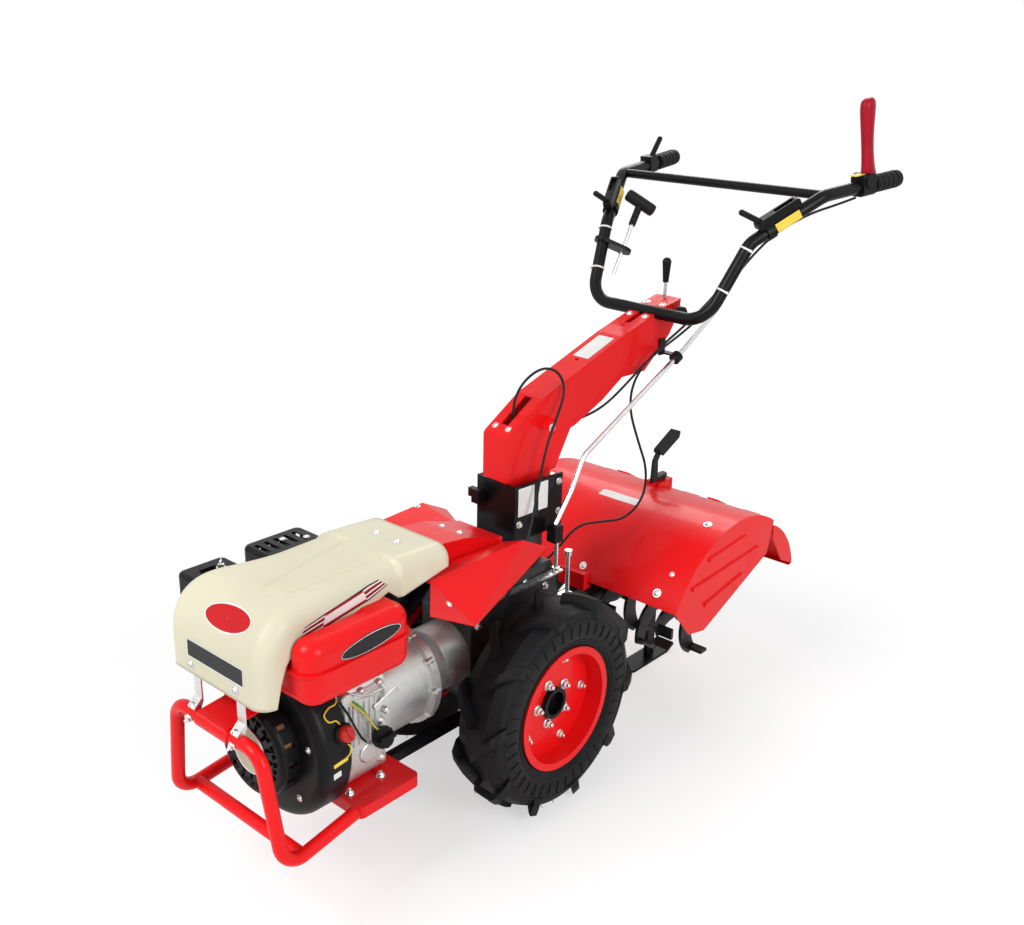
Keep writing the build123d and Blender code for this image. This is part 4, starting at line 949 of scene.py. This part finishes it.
# %% [markdown]
# The engine is a small four-stroke with a recoil starter. What catches the eye is what sits on the
# castings: a pressed side cover with its ribs and its ring of bolts, the cylinder head with its plug, and
# the bosses round the flange. Each is a small turned or bevelled form against the solid behind it.

# %% Castings on the engine
engine_castings = Gathered("engine_castings", cast_aluminium)
engine_castings.bevelled(mm(458, 110.5, 350), (98, 9, 176), 4.0)
engine_castings.bevelled(mm(458, 115, 350), (74, 7, 150), 3.0)
for x in (430, 444, 458, 472, 486):
    engine_castings.bevelled(mm(x, 119, 372), (4, 5, 92), 1.2)
engine_castings.turned(mm(500, 104, 436), LEFT, [(15, 0), (15, 14), (13, 17), (7, 18)], 24)
engine_castings.turned(mm(452, 116, 300), LEFT, [(22, 0), (21, 5), (18, 7)], 28)
for x, z in ((412, 266), (412, 350), (412, 434), (504, 266), (504, 350), (458, 434)):
    engine_castings.turned(mm(x, 108, z), LEFT, [(9.5, 0), (9, 7), (8.2, 8)], 18)
    engine_castings.bolt(mm(x, 116, z), LEFT, 10.0, zinc_plate)

head_out, head_up = Vector((0, -0.94, 0.342)), Vector((0, 0.342, 0.94))
head_face = mm(460, -108, 360) + head_out * 92 * MM


def on_head(out, across=0, rise=0):
    """A place off the cylinder head's face, in millimetres."""
    return head_face + (head_out * out + Vector(FRONT) * across + head_up * rise) * MM


engine_castings.bevelled(on_head(8), (16, 92, 104), 5.0, head_out, head_up)
for rise, across in product((-38, 38), (-34, 34)):
    engine_castings.bolt(on_head(16, across, rise), head_out, 11.0, zinc_plate)
engine_castings.turned(on_head(15, 0, 6), head_out, [(9, 0), (9, 6), (6, 7), (5, 16)], 18, zinc_plate)
engine_castings.turned(on_head(27, 0, 6), head_out, [(8, 0), (9, 4), (8, 22), (5, 28)], 18, black_plastic)
for angle in around(10):
    boss = round_crankshaft(246, 104, angle)
    engine_castings.turned(boss, FRONT, [(9, -2), (9, 9), (8, 10)], 16)
    engine_castings.bolt(boss + mm(9.5, 0, 0), FRONT, 9.0, zinc_plate)
engine_castings.made("chassis", "cast aluminium")

# %% [markdown]
# The governor's lever stands on the side cover with its spring and its link. The spring is a wire drawn
# along a helix, eight corners to a turn, which is enough for a coil seven millimetres across. On the air
# cleaner's lid a stud carries a washer and a wing nut.

# %% Linkage and wing nut
SPRING_CORNERS, SPRING_TURNS, SPRING_STEP, SPRING_RADIUS = 8, 12, 0.42, 3.4
linkage = Gathered("engine_linkage", zinc_plate)
linkage.bevelled(mm(404, 122, 402), (14, 3, 66), 1.0, (0.35, 0, 0.94), (-0.94, 0, 0.35))
linkage.turned(mm(404, 112, 374), LEFT, [(7, 0), (7, 12), (5, 14)], 16)
linkage.turned(mm(412, 120, 430), LEFT, [(4, 0), (4, 6), (3, 7)], 12)
spring = []
for index in range(SPRING_CORNERS * SPRING_TURNS + 1):
    angle = math.tau * index / SPRING_CORNERS
    aside, above = SPRING_RADIUS * math.cos(angle), SPRING_RADIUS * math.sin(angle)
    spring.append(mm(412 + index * SPRING_STEP, 125 + aside, 430 + above))
linkage.drawn(spring, 0.7, 5)
linkage.drawn([mm(452, 125, 430), mm(470, 122, 436), mm(492, 118, 448)], 1.2, 6)
linkage.turned(mm(542, -201, 620), UP, [(3.2, 0), (3.2, 16), (2.4, 17)], 12)
linkage.turned(mm(542, -201, 622), UP, [(10, 0), (10, 1.4), (7, 2), (6.4, 8), (4.5, 9)], 16)
linkage.bevelled(mm(542, -201, 631), (30, 2.6, 11), 1.0, (0.6, 0.8, 0))
linkage.made("chassis", "zinc plate")

# %% [markdown]
# The red stop switch sits on the blower housing, and loops of wire run beside it and across the side
# cover. Wire could be a curve object with a bevel, but then each wire would be an object of its own. Here
# a spline that passes through a few points read from the picture is drawn straight into the collector.

# %% Switch and wires
WIRE_STEPS = 6


def wire(piece, radius, finish, points):
    """A loop of wire: few points from the picture, joined by a smooth line that passes through each."""
    spots = [mm(*point) for point in points]
    padded = [spots[0], *spots, spots[-1]]
    line = []
    for before, start, end, after in zip(padded, padded[1:], padded[2:], padded[3:]):
        slope = end - before
        bend = 2 * before - 5 * start + 4 * end - after
        twist = 3 * start - before - 3 * end + after
        for t in [step / WIRE_STEPS for step in range(WIRE_STEPS)]:
            line.append(0.5 * (2 * start + slope * t + bend * t * t + twist * t * t * t))
    piece.drawn([*line, spots[-1]], radius, 7, finish)


engine_wires = (
    (1.7, wire_yellow, (
        (520, 112, 446), (534, 124, 446), (552, 128, 448), (566, 132, 440), (560, 138, 426), (546, 142, 424),
        (540, 150, 412),
    )),
    (1.5, wire_yellow, ((540, 158, 384), (532, 164, 372), (536, 166, 360), (546, 164, 352))),
    (1.9, wire_green, (
        (500, 116, 442), (478, 124, 420), (462, 128, 396), (452, 130, 372), (436, 134, 352), (426, 134, 338),
        (430, 128, 326),
    )),
    (1.7, wire_yellow, (
        (500, 120, 436), (470, 130, 402), (448, 132, 366), (434, 134, 344), (430, 128, 326),
    )),
    (2.4, wire_black, (
        (516, 116, 440), (506, 130, 412), (494, 136, 380), (478, 132, 352), (460, 124, 330),
    )),
    (3.2, wire_black, (on_head(53, 0, 6) / MM, (470, -236, 424), (500, -214, 440), (530, -170, 440))),
)
electrics = Gathered("engine_electrics", black_plastic)
switch, switch_out = shroud_seat.meet(mm(538, 150, 397), (0, 0.96, 0.29))
electrics.turned(switch, switch_out, [(21, -2), (21, 5), (18, 8)], 28)
electrics.turned(switch, switch_out, [(16, 7), (15.5, 17), (13, 20), (8, 20.5)], 24, recoil_red)
electrics.bevelled(switch + switch_out * 22 * MM, (7, 6, 26), 1.6, switch_out, (0.4, 0, 1), recoil_red)
for strand in engine_wires:
    wire(electrics, *strand)
electrics.turned(mm(430, 126, 326), LEFT, [(7, -2), (7, 4), (5, 6)], 16, zinc_plate)
print(len(engine_wires), "wires")

# %% [markdown]
# Through the slots of the starter's cage one sees slanted vanes, with a ring of copper behind them. Only
# their edges show, so plain blocks round a circle and one turned ring do for both. The oil filler cap,
# lower down, gets a bar and short ribs to grip. All of these join the piece that the switch began.

# %% Vanes, winding and filler cap
winding = [(60, 4), (88, 4), (88, 30), (60, 32)]
electrics.turned(round_crankshaft(596, 0, 0), FRONT, winding, 48, copper_winding)
for angle in around(28):
    out = Vector((0, math.cos(angle), math.sin(angle)))
    spoke = out * 0.8 + Vector((0.55, 0, 0))
    electrics.bevelled(round_crankshaft(636, 66, angle), (28, 3.4, 9), 1.0, spoke, out.cross(Vector(FRONT)))
bezel = [(49, -3), (50, 2), (48.5, 3.6), (47.5, 3.6), (46, 2.5)]
electrics.turned(round_crankshaft(640, 0, 0), FRONT, bezel, 48, zinc_plate)

cap_tilt = math.radians(70)
cap_out = Vector((0, math.sin(cap_tilt), math.cos(cap_tilt)))
cap_place = mm(428, 100, 318) + cap_out * 49 * MM
electrics.bevelled(cap_place + cap_out * 5 * MM, (12, 11, 38), 2.0, cap_out, FRONT)
for angle in around(12):
    beside = Vector(FRONT) * math.cos(angle) + cap_out.cross(Vector(FRONT)) * math.sin(angle)
    rib = cap_place - cap_out * 9 * MM + beside * 21 * MM
    electrics.bevelled(rib, (3, 16, 4), 0.8, beside, cap_out.cross(beside))
electrics.made("chassis", "black plastic")

# %% [markdown]
# The top bar of the bumper wears a short red sleeve between the feet of the two struts, which bring the
# hood's weight down to the bar. It is one turned form with a small chamfer at each end.

# %% Sleeve on the bumper
sleeve = Gathered("bumper_sleeve", red_paint)
sleeve.turned(mm(707, -50, 425), LEFT, [(15, 0), (16.8, 1.5), (16.8, 98.5), (15, 100)], 32)
sleeve.made("chassis", "red paint")

# %% [markdown]
# A control cable is a steel wire in a springy sheath. Held at both ends, it takes one smooth curve with
# no corners. A tube swept on arcs looks like bent pipe, so the line here is a NURBS curve of order three
# whose control points are the route's own points. Two of the cables cross the turntable; their meshes
# stay where they are drawn and ride on neither body.

# %% Control cables
CABLE = 0.006


def cable_mesh(name, points):
    curve = bpy.data.curves.new(name + "_line", "CURVE")
    curve.dimensions = "3D"
    curve.resolution_u = 10
    curve.bevel_depth = CABLE / 2
    curve.bevel_resolution = 3
    curve.use_fill_caps = True
    spline = curve.splines.new("NURBS")
    spline.points.add(len(points) - 1)
    for point, spot in zip(spline.points, points):
        point.co = (*spot, 1.0)
    spline.order_u = 3
    spline.use_endpoint_u = True
    line = placed(name + "_line", curve)
    bpy.context.view_layer.update()
    mesh = bpy.data.meshes.new_from_object(line.evaluated_get(bpy.context.evaluated_depsgraph_get()))
    bpy.data.objects.remove(line)
    mesh.name = name
    mesh.materials.clear()
    mesh.materials.append(cable_sheath.material)
    mesh.shade_smooth()
    piece = placed(name, mesh)
    print(name, "has", len(mesh.polygons), "faces")
    return piece


arm_route = (
    (-922, 306, 1279), (-862, 294, 1266), (-790, 270, 1250), (-712, 232, 1210), (-650, 200, 1144),
    (-606, 164, 1058), (-552, 114, 980), (-484, 64, 916), (-420, 48, 858), (-362, 32, 812),
    (-300, 16, 792), (-240, 8, 790), (-204, 4, 758), (-188, 2, 716),
)
engine_route = (
    (-98, -2, 800), (-88, -1, 856), (-106, 8, 910), (-148, 26, 942), (-186, 40, 934), (-202, 52, 904),
    (-192, 60, 872), (-160, 69, 836), (-126, 74, 790), (-104, 76, 732), (-86, 79, 666), (-56, 88, 602),
    (-12, 101, 548), (30, 108, 496), (58, 104, 440), (66, 104, 396), (66, 92, 366), (66, 75.3, 360),
)
gearbox_route = (
    (-668, 245, 1212), (-634, 224, 1158), (-600, 188, 1076), (-556, 136, 996), (-496, 90, 930),
    (-448, 66, 868), (-440, 62, 796), (-462, 78, 712), (-486, 94, 636), (-476, 96, 562),
    (-412, 88, 524), (-330, 74, 538), (-262, 58, 546), (-205, 40, 487), (-159.7, 38, 472),
)
arm_line = cable_mesh("arm_cable_sheath", [swung(*point) for point in arm_route])
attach(arm_line, "handlebars")
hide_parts("arm_cable")
engine_line = cable_mesh("engine_cable_sheath", [mm(*point) for point in engine_route])
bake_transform(engine_line)
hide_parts("engine_cable")
gearbox_line = cable_mesh("gearbox_cable_sheath", [mm(*point) for point in gearbox_route])
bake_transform(gearbox_line)
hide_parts("gearbox_cable")

# %% [markdown]
# White ties ring both arms of the handlebars, as they do where a cable is tied to a tube. A tie is a flat
# strap pulled tight, with a small square lock. A turned ring and a bevelled block are enough for it.

# %% Cable ties
ties = Gathered("cable_ties", label_white)
arm_foot, arm_knee = Vector((-540, 172, 1010)), Vector((-634, 214, 1188))
arm = (arm_knee - arm_foot).normalized()
strap = [(15.4, 0), (16.6, 0.2), (16.6, 4.2), (15.4, 4.4)]
for side, share in product((1, -1), (0.40, 0.92)):
    spot = arm_foot.lerp(arm_knee, share)
    centre = swung(spot.x, side * spot.y, spot.z)
    direction = swung_direction(arm.x, side * arm.y, arm.z)
    ties.turned(centre - direction * 2.2 * MM, direction, strap, 32)
    outward = direction.cross(Vector(UP)).normalized() * side
    ties.bevelled(centre + outward * 18 * MM, (5, 6, 6), 0.8, outward, direction)
ties.made("handlebars", "cream paint")

# %% [markdown]
# A product photograph on white has a floor that vanishes and a soft shadow that stays. The floor here is
# an ordinary pale surface to every ray but the camera's. To the camera it is half glow and half surface,
# which lifts it to white without one more watt on the machine, and keeps half the depth of the shadow.
# Further out the glow takes over, so that the floor's far edge doesn't show.

# %% Floor
FLOOR_RADIUS = 9.0
rim = [(FLOOR_RADIUS * math.cos(angle), FLOOR_RADIUS * math.sin(angle), 0.0) for angle in around(96)]
floor_mesh = bpy.data.meshes.new("studio_floor")
floor_mesh.from_pydata(rim, [], [list(range(len(rim)))])
floor = placed("studio_floor", floor_mesh)
surface = Finish("floor", (0.90, 0.90, 0.90), 0.9)
to_lens = surface.node("ShaderNodeLightPath", output="Is Camera Ray")
glow = surface.node("ShaderNodeEmission", {}, {"Color": WHITE, "Strength": 1.12})
from_middle = surface.node("ShaderNodeVectorMath", {"operation": "LENGTH"}, {0: surface.place}, "Value")
mask = to_lens * (0.5 + 0.5 * from_middle.ramp(1.2, 3.0))
plain_surface = Term(surface, surface.shader.outputs[0])
lifted = surface.node("ShaderNodeMixShader", {}, {0: mask, 1: plain_surface, 2: glow})
output = next(node for node in surface.tree.nodes if node.type == "OUTPUT_MATERIAL")
surface.feed(output.inputs["Surface"], lifted)
floor_mesh.materials.append(surface.material)
print("the floor is", 2 * FLOOR_RADIUS, "m across")

# %% [markdown]
# The world is white to the camera and in reflections, and dimmer where it lights the machine. A bright
# world would fill every shadow, and a dim one alone would be seen behind the machine as a grey wall.

# %% World
world = bpy.data.worlds.new("studio_world")
scene.world = world
world.use_nodes = True
sky = Graph(world.node_tree)
sky.tree.nodes.clear()
seen, through, mirrored = [
    sky.node("ShaderNodeLightPath", output=f"Is {ray} Ray") for ray in ("Camera", "Transmission", "Glossy")
]
lighting = sky.node("ShaderNodeBackground", {}, {"Color": WHITE, "Strength": 0.42})
shown = sky.node("ShaderNodeBackground", {}, {"Color": WHITE})
white = (seen + through + mirrored).clamped()
choice = sky.node("ShaderNodeMixShader", {}, {0: white, 1: lighting, 2: shown})
sky.node("ShaderNodeOutputWorld", {}, {"Surface": choice})
print("world nodes:", len(sky.tree.nodes))

# %% [markdown]
# Three large soft lamps do what a studio's softboxes do: the main one high on the lens's left, a weaker
# one on the right so that no side falls to black, and one from behind that draws the rims of the tubes.

# %% Lamps
def softbox(name, place, target, size, watts):
    lamp = bpy.data.lights.new(name, "AREA")
    lamp.shape = "RECTANGLE"
    lamp.size, lamp.size_y = size
    lamp.energy = watts
    holder = placed(name, lamp)
    holder.location = place
    holder.rotation_euler = (Vector(target) - Vector(place)).to_track_quat("-Z", "Y").to_euler()


softbox("main_softbox", (3.2, -0.6, 3.4), (0.0, 0.0, 0.4), (2.0, 2.0), 120.0)
softbox("side_softbox", (0.4, 3.6, 2.2), (-0.1, 0.0, 0.5), (1.8, 1.8), 75.0)
softbox("rear_softbox", (-3.2, -1.6, 3.0), (-0.3, 0.0, 0.6), (2.0, 1.4), 45.0)
scene.view_settings.view_transform = "Standard"
print("lamps:", len(bpy.data.lights))
